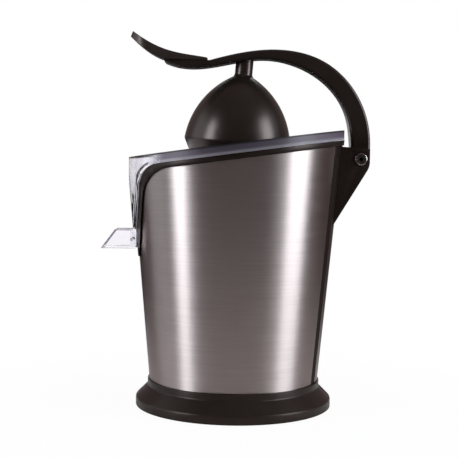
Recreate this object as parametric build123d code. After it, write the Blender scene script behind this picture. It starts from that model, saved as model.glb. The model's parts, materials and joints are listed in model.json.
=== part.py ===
from build123d import *
import math
import os

# Electric citrus juicer. Millimetres, +Z up, the origin on the floor under the reamer's axis.
# The spout points to -X, the lever is hinged at +X, and the body is mirrored about Y = 0.

# Steel body: a cone, cut on a slope at the top and opened as a U at the front
SHELL_FOOT_Z = 20.0
SHELL_FOOT_RADIUS = 75.6
SHELL_TAPER = 0.09
SHELL_SHEET = 1.0
CUT_HEIGHT = 222.3
CUT_SLOPE = 7.85
EDGE_TOP_Z = 185.0
EDGE_TOP_INSET = 10.0
EDGE_FOOT_Z = 134.8
EDGE_FOOT_INSET = 1.2
EDGE_CORNER_RADIUS = 27.0
EDGE_GAP = 0.1
HEADROOM = 60.0

# Trim along the steel edge
TRIM_BAND = 4.6
TRIM_PROUD = 1.2
TRIM_DEPTH = 5.0
TONGUE_LENGTH = 8.0
TONGUE_THICKNESS = 2.4
TONGUE_GAP = 0.2

# Rear spine and its steel panel
SPINE_HALF_ANGLE = 26.0
SPINE_THICKNESS = 3.3
PANEL_HALF_ANGLE = 19.0
SEAM_GAP = 0.2

# Base
BASE_RADIUS = 88.0
BASE_BAND_TOP = 8.0
BASE_LIFT = 0.5
BASE_WALL = 3.5
FLARE_TOP = 18.5
COLLAR_TOP = 24.5
COLLAR_PROUD = 1.4
LEDGE_WIDTH = 4.5
LEDGE_THICKNESS = 3.5
PLATE_THICKNESS = 3.0
PLATE_GAP = 0.3
FOOT_INSET = 8.0
FOOT_WIDTH = 9.0
FOOT_GROOVE = 1.0
VENT_COUNT = 16
VENT_WIDTH = 3.0
VENT_INNER = 28.0
VENT_OUTER = 54.0
GLAND_RADIUS = 5.5
GLAND_BORE = 3.2
GLAND_Z = 12.5
GLAND_SINK = 3.4
GLAND_PROUD = 0.6
GLAND_GAP = 0.1

# Inner frame
DECK_Z = 124.0
DECK_THICKNESS = 4.0
FRAME_GAP = 0.3
SKIRT_DEPTH = 26.0
SKIRT_WALL = 2.5
COLUMN_CIRCLE = 66.0
COLUMN_RADIUS = 4.5
COLUMN_COUNT = 4

# Bowl, spout and strainer
BOWL_INSET = 8.0
BOWL_WALL = 2.2
BOWL_FLOOR_Z = 145.0
BOWL_FLOOR = 2.5
BOWL_FOOT_RADIUS = 60.0
LIP_PROUD = 3.9
LIP_RADIUS = 96.25
LIP_HEIGHT = 8.2
LIP_FOOT_Z = 159.0
SEAT_GAP = 0.3
THROAT_GAP = 0.4
CHIMNEY_TOP = 186.0
CHIMNEY_BORE = 9.0
CHIMNEY_WALL = 2.2
SHOULDER_Z = 164.0
SHOULDER_WIDTH = 4.0
NOZZLE_HALF_WIDTH = 8.6
NOZZLE_HEIGHT = 14.0
NOZZLE_WALL = 2.0
NOZZLE_PAST_PIVOT = 1.5
SLOT_GAP = 0.6
SPOUT_GAP = 0.4
SPOUT_WALL = 2.0
SPOUT_HEIGHT = 17.4
SPOUT_ROOT_GAP = 0.6
SPOUT_TOP_REACH = 18.5
SPOUT_FOOT_REACH = 31.3
SPOUT_PIVOT_OUT = 3.4
SPOUT_PIVOT_Z = 149.0
SPOUT_LIFT = 25.0
SPOUT_PIN_RADIUS = 1.5
PIN_FIT = 0.05
STRAINER_SHEET = 1.2
STRAINER_Z = 170.0
STRAINER_TOP = 196.0
STRAINER_FLOOR_RADIUS = 66.0
STRAINER_GAP = 0.8
STRAINER_HUB_WALL = 2.5
STRAINER_HUB_RISE = 10.0
STRAINER_SLOTS = 40
STRAINER_SLOT_WIDTH = 1.8
STRAINER_SLOT_INNER = 22.0
STRAINER_SLOT_OUTER = 62.0

# Lever hinge and bracket
PIN_Z = 223.4
PIN_STANDOFF = 16.1
PIN_RADIUS = 4.0
PIN_HEAD_RADIUS = 5.4
PIN_HEAD = 1.6
PIN_SOCKET_RADIUS = 2.9
BRACKET_HALF_WIDTH = 19.5
BRACKET_FOOT_Z = 163.0
BRACKET_BACK = 7.8
BRACKET_CHIN = 6.7
BRACKET_TOP = 9.0
BRACKET_LEDGE_UP = 11.0
BRACKET_CORNER = 16.0
BRACKET_GAP = 0.15
BRACKET_SINK = 3.0
CHEEK_WASHER = 0.6
HUB_SWEEP = 16.0
WASHER_GAP = 0.03
BRACKET_SCREW_LEVELS = (188.0, 206.0)
BRACKET_SCREW_GRIP = 7.0

# Lever, drawn fully pressed and then raised to its rest
LEVER_REST_LIFT = 4.5
ARM_HALF_WIDTH = 12.5
ARM_HUB_RADIUS = 7.8
ARM_EDGE_ROUND = 2.5
ARM_BUSH_WALL = 1.5
ARM_BACK_CURVE = ((4.8, 29.5), (-10.7, 59.8), (-42.0, 83.7))
ARM_TOP_CURVE = ((30.0, 89.7), (0.0, 85.0))
ARM_SEAT_REAR = (-32.0, 74.6)
ARM_SEAT_FRONT = (-71.3, 72.2)
ARM_TOE = (-70.3, 69.3)
ARM_LOWER_CURVE = ((-50.0, 66.3), (-32.0, 68.7), (-10.0, 74.7), (20.0, 80.3), (46.5, 76.9))
ARM_INNER_CURVE = ((-33.1, 60.8), (-16.8, 40.0), (-10.3, 18.0))
GRIP_HALF_WIDTH = 17.0
GRIP_TIP_LOW = (-103.3, 89.9)
GRIP_TIP_TOP = (-101.8, 94.9)
GRIP_LOWER_CURVE = ((-80.0, 75.0), (-91.2, 80.9))
GRIP_TOP_CURVE = ((-88.0, 86.8), (-66.7, 79.7), (-48.0, 77.7))
GRIP_HEEL = (-33.2, 76.7)
GRIP_SCREW_XS = (-41.0, -56.0)
GRIP_SCREW_BITE = 2.4
GRIP_SCREW_ACCESS = 14.0

# Press cup
STEM_RADIUS = 7.85
STEM_FIT = 0.15
STEM_SOCKET = 2.6
DOME_RADIUS = 47.5
DOME_EQUATOR_Z = 229.7
DOME_SHOULDER = (33.4, 35.8)
DOME_HEIGHT = 57.4
DOME_TOP_RADIUS = 8.2
DOME_BAND = 1.5
DOME_SKIRT_DROP = 14.0
DOME_SKIRT_RADIUS = 41.3
DOME_WALL = 2.5

# Reamer and drive
CONE_RADIUS = 31.0
CONE_Z = 205.0
CONE_HEIGHT = 57.0
CONE_BULGE = 4.0
CONE_TIP_RADIUS = 2.5
CONE_WALL = 2.6
CONE_SKIRT = 5.0
CONE_RIBS = 10
RIB_WIDTH = 3.0
RIB_PROUD = 2.0
RIB_TOP_GAP = 7.0
CONE_HUB_RADIUS = 8.5
CONE_HUB_CLEAR = 1.0
PRESS_TRAVEL = 2.5
SHAFT_RADIUS = 5.0
SHAFT_LOW_Z = 84.5
SHAFT_SHOULDER_Z = 200.0
SHAFT_TOP_Z = 240.0
DRIVE_FLAT_RADIUS = 4.0
DRIVE_FLAT = 3.2
RUN_FIT = 0.04
BUSH_WALL = 3.0
SEAL_RADIUS = 12.0
SEAL_HEIGHT = 4.0

# Gears
PRESSURE_ANGLE = 20.0
ADDENDUM = 0.9
DEDENDUM = 1.2
BACKLASH = 0.2
FINE_MODULE = 0.8
COARSE_MODULE = 1.0
MOTOR_TEETH = 15
WHEEL_TEETH = 60
PINION_TEETH = 15
OUTPUT_TEETH = 54
MOTOR_SWING = 60.0
CASE_FLOOR_Z = 88.0
CASE_FLOOR = 4.0
CASE_WALL = 2.5
CASE_ROOM = 1.5
COVER_THICKNESS = 3.0
CASE_EAR_RADIUS = 5.0
CASE_EAR_TURN = 50.0
WHEEL_LIFT = 2.0
WHEEL_WIDTH = 5.5
PINION_GAP = 0.5
PINION_WIDTH = 15.0
OUTPUT_Z = 105.0
OUTPUT_WIDTH = 8.0
OUTPUT_BOSS = 1.2
OUTPUT_BOSS_RADIUS = 9.0
THRUST_GAP = 0.3
THRUST_THICKNESS = 2.0
THRUST_ARM_WIDTH = 6.0
IDLER_PIN_RADIUS = 3.0
SPRING_RADIUS = 7.2
SPRING_WIRE = 0.6
SPRING_TURNS = 3

# Start switch
SWITCH_LENGTH = 20.0
SWITCH_WIDTH = 6.4
SWITCH_HEIGHT = 6.0
SWITCH_X = 4.0
SWITCH_Y = -20.0
PLUNGER_RADIUS = 1.5
PLUNGER_GAP = 0.3
PLUNGER_DEPTH = 1.5

# Motor
STACK_SIDE = 52.0
STACK_HEIGHT = 30.0
STACK_DROP = 14.0
ROTOR_RADIUS = 13.0
ROTOR_AIR_GAP = 0.6
ROTOR_SLOTS = 16
COIL_OUT = 18.0
COIL_DEPTH = 7.0
COIL_LEG_INNER = 16.0
COIL_LEG = 5.0
COIL_END = 6.0
COIL_GAP = 0.4
MOTOR_SHAFT_RADIUS = 3.0
MOTOR_POST_OUT = 21.0
MOTOR_POST_RADIUS = 4.0
MOTOR_BRACKET = 4.0
MOTOR_BRACKET_DROP = 17.0
BEARING_WALL = 3.0
BEARING_LENGTH = 6.0
FAN_RADIUS = 16.0
FAN_HEIGHT = 6.0
FAN_BLADES = 7
FAN_HUB_RADIUS = 6.0
FAN_BLADE = 1.6
FAN_GAP = 1.5

# Fasteners
SCREW_RADIUS = 1.6
SCREW_HEAD_RADIUS = 3.2
SCREW_HEAD = 2.0
SCREW_FIT = 0.1
LONG_SCREW_RADIUS = 2.0

# Places that follow from the sizes above
BOTTOM = (Align.CENTER, Align.CENTER, Align.MIN)


def shell_radius(z):
    return SHELL_FOOT_RADIUS + SHELL_TAPER * (z - SHELL_FOOT_Z)


def polar(radius, angle):
    return (radius * math.cos(angle), radius * math.sin(angle))


PIN_X = shell_radius(PIN_Z) + PIN_STANDOFF
TOP_Z = CUT_HEIGHT + HEADROOM
PLATE_TOP = BASE_LIFT + PLATE_THICKNESS
FOOT_OUTER = BASE_RADIUS - FOOT_INSET
COLLAR_RADIUS = shell_radius(COLLAR_TOP) + COLLAR_PROUD
DECK_TOP = DECK_Z + DECK_THICKNESS
CHEEK_INNER = ARM_HALF_WIDTH + CHEEK_WASHER
SPINE_INSET = SHELL_SHEET + SEAM_GAP + SPINE_THICKNESS
NOZZLE_LOW = BOWL_FLOOR_Z - NOZZLE_WALL
SPOUT_ROOT_X = -(shell_radius(SPOUT_PIVOT_Z) + TRIM_PROUD + SPOUT_ROOT_GAP)
SPOUT_PIVOT_X = SPOUT_ROOT_X - SPOUT_PIVOT_OUT
SPOUT_HALF_WIDTH = NOZZLE_HALF_WIDTH + SPOUT_GAP + SPOUT_WALL
SPOUT_FLOOR_Z = NOZZLE_LOW - SPOUT_GAP - SPOUT_WALL
IDLER_X = -COARSE_MODULE * (PINION_TEETH + OUTPUT_TEETH) / 2
MOTOR_OFFSET = polar(FINE_MODULE * (MOTOR_TEETH + WHEEL_TEETH) / 2, math.radians(MOTOR_SWING))
MOTOR_X = IDLER_X + MOTOR_OFFSET[0]
MOTOR_Y = MOTOR_OFFSET[1]
MOTOR_TURN = math.atan2(MOTOR_Y, MOTOR_X)
MOTOR_POSTS = [
    (MOTOR_X + side * MOTOR_POST_OUT * math.sin(MOTOR_TURN),
     MOTOR_Y - side * MOTOR_POST_OUT * math.cos(MOTOR_TURN))
    for side in (-1, 1)
]
CASE_INSIDE_Z = CASE_FLOOR_Z + CASE_FLOOR
COVER_Z = DECK_Z - COVER_THICKNESS
WHEEL_Z = CASE_INSIDE_Z + WHEEL_LIFT
PINION_Z = WHEEL_Z + WHEEL_WIDTH + PINION_GAP
STACK_TOP = CASE_FLOOR_Z - STACK_DROP
STACK_LOW = STACK_TOP - STACK_HEIGHT
MOTOR_BRACKET_Z = STACK_LOW - MOTOR_BRACKET_DROP - MOTOR_BRACKET
THRUST_TOP = OUTPUT_Z - OUTPUT_BOSS - THRUST_GAP
THRUST_LOW = THRUST_TOP - THRUST_THICKNESS
SWITCH_TOP = CASE_INSIDE_Z + SWITCH_HEIGHT
CONE_HUB_LOW = CHIMNEY_TOP + PRESS_TRAVEL + CONE_HUB_CLEAR
DOME_TOP_Z = DOME_EQUATOR_Z + DOME_HEIGHT
COLUMN_ANGLES = [360 / COLUMN_COUNT * (k + 0.5) for k in range(COLUMN_COUNT)]


# Shared shapes

def body_cone(offset, z_low, z_high):
    """Frustum that follows the steel cone at a radial offset."""
    low = shell_radius(z_low) + offset
    high = shell_radius(z_high) + offset
    return Pos(0, 0, z_low) * Cone(low, high, z_high - z_low, align=BOTTOM)


def body_ring(outer, inner, z_low, z_high):
    """Conical sleeve between two radial offsets from the steel cone."""
    return body_cone(outer, z_low, z_high) - body_cone(inner, z_low, z_high)


def disc(radius, z_low, z_high, x=0.0, y=0.0):
    return Pos(x, y, z_low) * Cylinder(radius, z_high - z_low, align=BOTTOM)


def tube(outer, inner, z_low, z_high, x=0.0, y=0.0):
    return disc(outer, z_low, z_high, x, y) - disc(inner, z_low, z_high, x, y)


def cross_rod(radius, y_low, y_high, x, z):
    """Cylinder along Y."""
    return Pos(x, y_high, z) * Rot(90, 0, 0) * Cylinder(radius, y_high - y_low, align=BOTTOM)


def rear_rod(radius, x_low, x_high, z):
    """Cylinder along X on the mirror plane."""
    return Pos(x_low, 0, z) * Rot(0, 90, 0) * Cylinder(radius, x_high - x_low, align=BOTTOM)


def side_prism(face, half_width):
    """Side-view outline, extruded to both sides of the mirror plane."""
    return extrude(Plane.XZ * face, half_width, both=True)


def block(x_low, x_high, half_width, z_low, z_high):
    size_x = x_high - x_low
    size_z = z_high - z_low
    return Pos((x_low + x_high) / 2, 0, z_low) * Box(size_x, 2 * half_width, size_z, align=BOTTOM)


def rear_sector(half_angle):
    """Wedge about the rear axis, taller and wider than the body."""
    reach = 2 * shell_radius(TOP_Z)
    half = reach * math.tan(math.radians(half_angle))
    outline = make_face(Polyline((0, 0), (reach, -half), (reach, half), close=True))
    return extrude(outline, TOP_Z)


def revolved(points):
    """Solid of revolution about Z from a closed outline of (radius, height) points."""
    outline = make_face(Polyline(*points, close=True))
    return revolve(Plane.XZ * outline, Axis.Z)


def edge_front_x(z, offset):
    """X of the front stretch of the steel edge at a height, moved outwards by offset."""
    top_x = EDGE_TOP_INSET - shell_radius(EDGE_TOP_Z)
    foot_x = EDGE_FOOT_INSET - shell_radius(EDGE_FOOT_Z)
    lean = math.atan2(top_x - foot_x, EDGE_TOP_Z - EDGE_FOOT_Z)
    return foot_x + (z - EDGE_FOOT_Z) * math.tan(lean) - offset / math.cos(lean)


def edge_cut_z(x, offset):
    """Height of the slanted stretch of the steel edge at X, moved outwards by offset."""
    slope = math.radians(CUT_SLOPE)
    return CUT_HEIGHT + x * math.tan(slope) + offset / math.cos(slope)


def beyond_edge(offset, foot_z):
    """Everything above and in front of the steel edge, with the edge moved outwards by offset."""
    far = 2 * shell_radius(TOP_Z)
    top = edge_cut_z(far, offset) + far
    fall = edge_front_x(1, offset) - edge_front_x(0, offset)
    slope = edge_cut_z(1, offset) - edge_cut_z(0, offset)
    start = edge_front_x(edge_cut_z(0, offset), offset)
    corner_x = start / (1 - fall * slope)
    corner = (corner_x, edge_cut_z(corner_x, offset))
    outline = make_face(Polyline(
        (far, edge_cut_z(far, offset)),
        corner,
        (edge_front_x(foot_z, offset), foot_z),
        (-far, foot_z),
        (-far, top),
        (far, top),
        close=True,
    ))
    bend = outline.vertices().sort_by_distance((corner[0], corner[1], 0))[0]
    outline = fillet(bend, EDGE_CORNER_RADIUS - offset)
    return side_prism(outline, far)


def throat(shrink, foot_z):
    """Passage behind the clear front wall, as wide as the U in the trim less shrink."""
    far = 2 * shell_radius(TOP_Z)
    levels = [foot_z + (CUT_HEIGHT - foot_z) * k / 4 for k in range(5)]
    right = []
    for z in levels:
        reach = shell_radius(z) + TRIM_PROUD
        across = math.sqrt(max(reach ** 2 - edge_front_x(z, TRIM_BAND) ** 2, 1.0))
        right.append((max(across - shrink, BOWL_WALL), z))
    right.append((right[-1][0], TOP_Z))
    left = [(-y, z) for y, z in reversed(right)]
    outline = make_face(Polyline(*right, *left, close=True))
    tunnel = extrude(Plane.YZ * outline, -far)
    return tunnel & beyond_edge(-EDGE_TOP_INSET, foot_z)


def above_rim():
    lift = TRIM_BAND + SEAT_GAP + LIP_HEIGHT
    far = 2 * shell_radius(TOP_Z)
    outline = make_face(Polyline(
        (-far, edge_cut_z(-far, lift)),
        (far, edge_cut_z(far, lift)),
        (far, 2 * TOP_Z),
        (-far, 2 * TOP_Z),
        close=True,
    ))
    return side_prism(outline, far)


def screw(radius, length, head_radius=SCREW_HEAD_RADIUS, head=SCREW_HEAD):
    """Pan-head screw, head below the seat at z = 0 and shank upwards."""
    return disc(head_radius, -head, 0) + disc(radius, 0, length)


def raised(shape):
    """Turns a lever piece from fully pressed up to its rest."""
    about_pin = Pos(PIN_X, 0, PIN_Z) * Rot(0, LEVER_REST_LIFT, 0) * Pos(-PIN_X, 0, -PIN_Z)
    return about_pin * shape


def from_pin(point):
    return (PIN_X + point[0], PIN_Z + point[1])


def from_axis(point):
    return (point[0], PIN_Z + point[1])


# Base and feet

def base_outline(grow=0.0):
    """Outer outline of the base as (radius, height) points from the bottom up."""
    collar = COLLAR_RADIUS + grow
    return [
        (BASE_RADIUS + grow, BASE_LIFT),
        (BASE_RADIUS + grow, BASE_BAND_TOP),
        (collar, FLARE_TOP),
        (collar, COLLAR_TOP),
    ]


def base_ring():
    ledge = shell_radius(SHELL_FOOT_Z) - LEDGE_WIDTH
    inside = [
        (shell_radius(COLLAR_TOP) + SEAM_GAP, COLLAR_TOP),
        (shell_radius(SHELL_FOOT_Z) + SEAM_GAP, SHELL_FOOT_Z),
        (ledge, SHELL_FOOT_Z),
        (ledge, SHELL_FOOT_Z - LEDGE_THICKNESS),
        (BASE_RADIUS - BASE_WALL, BASE_BAND_TOP - BASE_WALL / 2),
        (BASE_RADIUS - BASE_WALL, BASE_LIFT),
    ]
    ring = revolved(base_outline() + inside)
    return ring - gland_rod(GLAND_RADIUS + GLAND_GAP)


def gland_rod(radius):
    return rear_rod(radius, COLLAR_RADIUS - GLAND_SINK, BASE_RADIUS + GLAND_PROUD, GLAND_Z)


def cord_gland():
    envelope = revolved([(0, BASE_LIFT)] + base_outline(GLAND_PROUD) + [(0, COLLAR_TOP)])
    return (gland_rod(GLAND_RADIUS) & envelope) - gland_rod(GLAND_BORE)


def bottom_plate():
    plate = disc(BASE_RADIUS - BASE_WALL - PLATE_GAP, BASE_LIFT, PLATE_TOP)
    plate -= tube(FOOT_OUTER + SCREW_FIT, FOOT_OUTER - FOOT_WIDTH - SCREW_FIT, 0, BASE_LIFT + FOOT_GROOVE)
    vent = Pos(VENT_INNER, 0, BASE_LIFT) * Box(
        VENT_OUTER - VENT_INNER, VENT_WIDTH, PLATE_THICKNESS,
        align=(Align.MIN, Align.CENTER, Align.MIN))
    plate -= [Rot(0, 0, 360 / VENT_COUNT * k) * vent for k in range(VENT_COUNT)]
    hole = disc(SCREW_RADIUS + SCREW_FIT, 0, PLATE_TOP) + disc(
        SCREW_HEAD_RADIUS + SCREW_FIT, 0, BASE_LIFT + SCREW_HEAD)
    return plate - [Pos(*column, 0) * hole for column in column_places()]


def foot_ring():
    return tube(FOOT_OUTER, FOOT_OUTER - FOOT_WIDTH, 0, BASE_LIFT + FOOT_GROOVE)


def column_places():
    return [polar(COLUMN_CIRCLE, math.radians(angle)) for angle in COLUMN_ANGLES]


def bottom_screws():
    length = PLATE_THICKNESS - SCREW_HEAD + 4 * SCREW_HEAD_RADIUS
    one = screw(SCREW_RADIUS, length)
    return [Pos(*column, BASE_LIFT + SCREW_HEAD) * one for column in column_places()]


# Steel body and trim

def steel_shell():
    sleeve = body_ring(0, -SHELL_SHEET, SHELL_FOOT_Z, TOP_Z)
    return sleeve - beyond_edge(-EDGE_GAP, EDGE_FOOT_Z) - rear_sector(SPINE_HALF_ANGLE)


def rear_spine():
    inner = body_ring(-SHELL_SHEET - SEAM_GAP, -SPINE_INSET, SHELL_FOOT_Z, TOP_Z)
    spine = inner & rear_sector(SPINE_HALF_ANGLE + SPINE_THICKNESS)
    edge_turn = math.degrees(SEAM_GAP / shell_radius(SHELL_FOOT_Z))
    edge = body_ring(0, -SPINE_INSET, SHELL_FOOT_Z, TOP_Z) & rear_sector(SPINE_HALF_ANGLE - edge_turn)
    spine += edge - (rear_sector(PANEL_HALF_ANGLE) & body_cone(0, SHELL_FOOT_Z, TOP_Z))
    spine -= beyond_edge(-TONGUE_LENGTH - SEAM_GAP, EDGE_FOOT_Z)
    return spine - bracket_screw_holes()


def rear_panel():
    turn = math.degrees(SEAM_GAP / shell_radius(SHELL_FOOT_Z))
    sleeve = body_ring(0, -SHELL_SHEET, SHELL_FOOT_Z, TOP_Z)
    panel = sleeve & rear_sector(PANEL_HALF_ANGLE - turn)
    return panel - beyond_edge(-EDGE_GAP, EDGE_FOOT_Z) - bracket_screw_holes()


def rim_trim():
    band = body_ring(TRIM_PROUD, -TRIM_DEPTH, EDGE_FOOT_Z - TONGUE_LENGTH, TOP_Z)
    band &= beyond_edge(0, EDGE_FOOT_Z)
    tongue_out = -SHELL_SHEET - TONGUE_GAP
    tongue = body_ring(tongue_out, tongue_out - TONGUE_THICKNESS, EDGE_FOOT_Z - TONGUE_LENGTH, TOP_Z)
    tongue &= beyond_edge(-TONGUE_LENGTH, EDGE_FOOT_Z - TONGUE_LENGTH)
    trim = band + tongue
    trim -= beyond_edge(TRIM_BAND, LIP_FOOT_Z)
    trim -= throat(0, LIP_FOOT_Z)
    slot = block(-2 * shell_radius(LIP_FOOT_Z), 0, NOZZLE_HALF_WIDTH + SLOT_GAP,
                 NOZZLE_LOW - SLOT_GAP, NOZZLE_LOW + NOZZLE_HEIGHT + SLOT_GAP)
    return trim - slot


# Inner frame

def inner_frame():
    inset = -SPINE_INSET - FRAME_GAP
    skirt_low = DECK_Z - SKIRT_DEPTH
    frame = body_cone(inset, DECK_Z, DECK_TOP)
    frame += body_ring(inset, inset - SKIRT_WALL, skirt_low, DECK_Z)
    pilot = disc(SCREW_RADIUS + SCREW_FIT, PLATE_TOP, PLATE_TOP + 5 * SCREW_HEAD_RADIUS)
    for column in column_places():
        frame += disc(COLUMN_RADIUS, PLATE_TOP, DECK_Z, *column) - Pos(*column, 0) * pilot
    frame -= disc(SHAFT_RADIUS + BUSH_WALL + SCREW_FIT, DECK_Z, DECK_TOP)
    for place in case_ears():
        frame -= disc(SCREW_RADIUS + SCREW_FIT, DECK_Z, DECK_TOP, *place)
    return frame


def shaft_seal():
    return tube(SEAL_RADIUS, SHAFT_RADIUS + RUN_FIT, DECK_TOP, DECK_TOP + SEAL_HEIGHT)


def shaft_bushes():
    upper = tube(SHAFT_RADIUS + BUSH_WALL, SHAFT_RADIUS + RUN_FIT, COVER_Z, DECK_TOP)
    lower = tube(SHAFT_RADIUS + BUSH_WALL, SHAFT_RADIUS + RUN_FIT, CASE_FLOOR_Z, CASE_INSIDE_Z)
    return [upper, lower]


# Bowl, strainer and spout

def lip_envelope(inset):
    lip = body_cone(LIP_PROUD - inset, SHELL_FOOT_Z, TOP_Z)
    return lip & disc(LIP_RADIUS - inset, SHELL_FOOT_Z, TOP_Z)


def bowl_nozzle():
    front = SPOUT_PIVOT_X - NOZZLE_PAST_PIVOT
    pipe = block(front, 0, NOZZLE_HALF_WIDTH, NOZZLE_LOW, NOZZLE_LOW + NOZZLE_HEIGHT)
    pipe -= body_cone(-BOWL_INSET - BOWL_WALL, SHELL_FOOT_Z, TOP_Z)
    return pipe


def bowl_nozzle_bore():
    return block(-2 * LIP_RADIUS, -BOWL_FOOT_RADIUS, NOZZLE_HALF_WIDTH - NOZZLE_WALL,
                 BOWL_FLOOR_Z, NOZZLE_LOW + NOZZLE_HEIGHT - NOZZLE_WALL)


def juice_bowl():
    under = BOWL_FLOOR_Z - BOWL_FLOOR
    lip_gap = TRIM_BAND + SEAT_GAP
    lip_foot = LIP_FOOT_Z + SEAT_GAP
    bowl = body_cone(-BOWL_INSET, under, TOP_Z)
    bowl += lip_envelope(0) & beyond_edge(lip_gap, lip_foot)
    bowl += throat(THROAT_GAP, LIP_FOOT_Z + THROAT_GAP) & lip_envelope(BOWL_WALL)
    bowl -= body_cone(-BOWL_INSET - BOWL_WALL, BOWL_FLOOR_Z, TOP_Z)
    bowl -= lip_envelope(BOWL_WALL) & beyond_edge(lip_gap + BOWL_WALL, lip_foot + BOWL_WALL)
    bowl -= throat(THROAT_GAP + BOWL_WALL, LIP_FOOT_Z + THROAT_GAP + BOWL_WALL) & lip_envelope(BOWL_WALL)
    bowl -= above_rim()
    bowl += bowl_nozzle()
    bowl -= bowl_nozzle_bore()
    chimney_outer = CHIMNEY_BORE + CHIMNEY_WALL
    bowl += disc(chimney_outer + SHOULDER_WIDTH, under, SHOULDER_Z)
    bowl += disc(chimney_outer, under, CHIMNEY_TOP)
    bowl += tube(BOWL_FOOT_RADIUS, BOWL_FOOT_RADIUS - BOWL_WALL, DECK_TOP + SEAT_GAP, under)
    bowl -= disc(CHIMNEY_BORE, under, TOP_Z)
    return bowl - spout_pin_rods(SPOUT_PIN_RADIUS + PIN_FIT)


def outlet_seal():
    outer = NOZZLE_HALF_WIDTH + SLOT_GAP - PIN_FIT
    inner = NOZZLE_HALF_WIDTH + PIN_FIT
    growth = outer - NOZZLE_HALF_WIDTH
    front = -(shell_radius(SPOUT_PIVOT_Z) + TRIM_PROUD)
    back = front + TRIM_DEPTH / 2
    ring = block(front, back, outer, NOZZLE_LOW - growth, NOZZLE_LOW + NOZZLE_HEIGHT + growth)
    return ring - block(front, back, inner, NOZZLE_LOW - PIN_FIT, NOZZLE_LOW + NOZZLE_HEIGHT + PIN_FIT)


def spout_outline():
    """Side view of the spout: a slanted end, and an upper root corner cut back for the lift."""
    low = SPOUT_FLOOR_Z
    top = low + SPOUT_HEIGHT
    lean = math.tan(math.radians(SPOUT_LIFT))
    cut = (top - SPOUT_PIVOT_Z) * lean + SPOUT_PIVOT_OUT * (1 - math.cos(math.radians(SPOUT_LIFT)))
    return make_face(Polyline(
        (SPOUT_ROOT_X, low),
        (SPOUT_ROOT_X, SPOUT_PIVOT_Z),
        (SPOUT_ROOT_X - cut, top),
        (SPOUT_ROOT_X - SPOUT_TOP_REACH, top),
        (SPOUT_ROOT_X - SPOUT_FOOT_REACH, low),
        close=True,
    ))


def spout_pin_rods(radius):
    inner = NOZZLE_HALF_WIDTH - NOZZLE_WALL + PIN_FIT
    right = cross_rod(radius, inner, SPOUT_HALF_WIDTH, SPOUT_PIVOT_X, SPOUT_PIVOT_Z)
    left = cross_rod(radius, -SPOUT_HALF_WIDTH, -inner, SPOUT_PIVOT_X, SPOUT_PIVOT_Z)
    return [right, left]


def juice_spout():
    spout = side_prism(spout_outline(), SPOUT_HALF_WIDTH)
    long_edges = spout.edges().filter_by(Axis.X).group_by(Axis.Z)[0]
    spout = fillet(long_edges, SPOUT_WALL + SPOUT_GAP)
    channel_low = SPOUT_FLOOR_Z + SPOUT_WALL
    spout -= block(-2 * LIP_RADIUS, 0, SPOUT_HALF_WIDTH - SPOUT_WALL, channel_low, TOP_Z)
    return spout - spout_pin_rods(SPOUT_PIN_RADIUS + PIN_FIT)


def strainer():
    rim = shell_radius(STRAINER_TOP) - BOWL_INSET - BOWL_WALL - STRAINER_GAP
    hub_inner = CHIMNEY_BORE + CHIMNEY_WALL + STRAINER_GAP
    hub_outer = hub_inner + STRAINER_HUB_WALL
    low = STRAINER_Z
    wall_top = rim - (STRAINER_SHEET + STRAINER_GAP) * 2
    basket = revolved([
        (hub_inner, SHOULDER_Z + SEAT_GAP),
        (hub_outer, SHOULDER_Z + SEAT_GAP),
        (hub_outer, low),
        (STRAINER_FLOOR_RADIUS, low),
        (wall_top, STRAINER_TOP - STRAINER_SHEET),
        (rim, STRAINER_TOP - STRAINER_SHEET),
        (rim, STRAINER_TOP),
        (wall_top - STRAINER_SHEET, STRAINER_TOP),
        (STRAINER_FLOOR_RADIUS - STRAINER_SHEET, low + STRAINER_SHEET),
        (hub_outer, low + STRAINER_SHEET),
        (hub_outer, low + STRAINER_HUB_RISE),
        (hub_inner, low + STRAINER_HUB_RISE),
    ])
    slot = Pos(STRAINER_SLOT_INNER, 0, low - STRAINER_SHEET) * Box(
        STRAINER_SLOT_OUTER - STRAINER_SLOT_INNER, STRAINER_SLOT_WIDTH, 3 * STRAINER_SHEET,
        align=(Align.MIN, Align.CENTER, Align.MIN))
    return basket - [Rot(0, 0, 360 / STRAINER_SLOTS * k) * slot for k in range(STRAINER_SLOTS)]


# Hinge

def hinge_bracket():
    root = shell_radius(BRACKET_FOOT_Z)
    face = make_face(Polyline(
        (root - BRACKET_SINK, BRACKET_FOOT_Z),
        (PIN_X + BRACKET_BACK, PIN_Z - BRACKET_CHIN),
        (PIN_X + BRACKET_BACK, PIN_Z + BRACKET_TOP),
        (shell_radius(PIN_Z) - BRACKET_SINK, PIN_Z + BRACKET_LEDGE_UP),
        close=True,
    ))
    chin = face.vertices().sort_by_distance((PIN_X + BRACKET_BACK, PIN_Z - BRACKET_CHIN, 0))[0]
    face = fillet(chin, BRACKET_CORNER)
    bracket = side_prism(face, BRACKET_HALF_WIDTH)
    bracket -= body_cone(BRACKET_GAP, SHELL_FOOT_Z, TOP_Z)
    trim_room = body_cone(TRIM_PROUD + SEAT_GAP, SHELL_FOOT_Z, TOP_Z)
    bracket -= trim_room & beyond_edge(-SEAT_GAP, EDGE_FOOT_Z)
    bracket -= cross_rod(HUB_SWEEP, -CHEEK_INNER, CHEEK_INNER, PIN_X, PIN_Z)
    bracket -= block(PIN_X - HUB_SWEEP, PIN_X + 2 * HUB_SWEEP, CHEEK_INNER, PIN_Z, TOP_Z)
    bracket -= cross_rod(PIN_RADIUS + RUN_FIT, -2 * BRACKET_HALF_WIDTH, 2 * BRACKET_HALF_WIDTH, PIN_X, PIN_Z)
    return bracket - bracket_screw_holes()


def bracket_screw_seat(z):
    return shell_radius(z) - SPINE_INSET + SCREW_HEAD / 2


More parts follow.
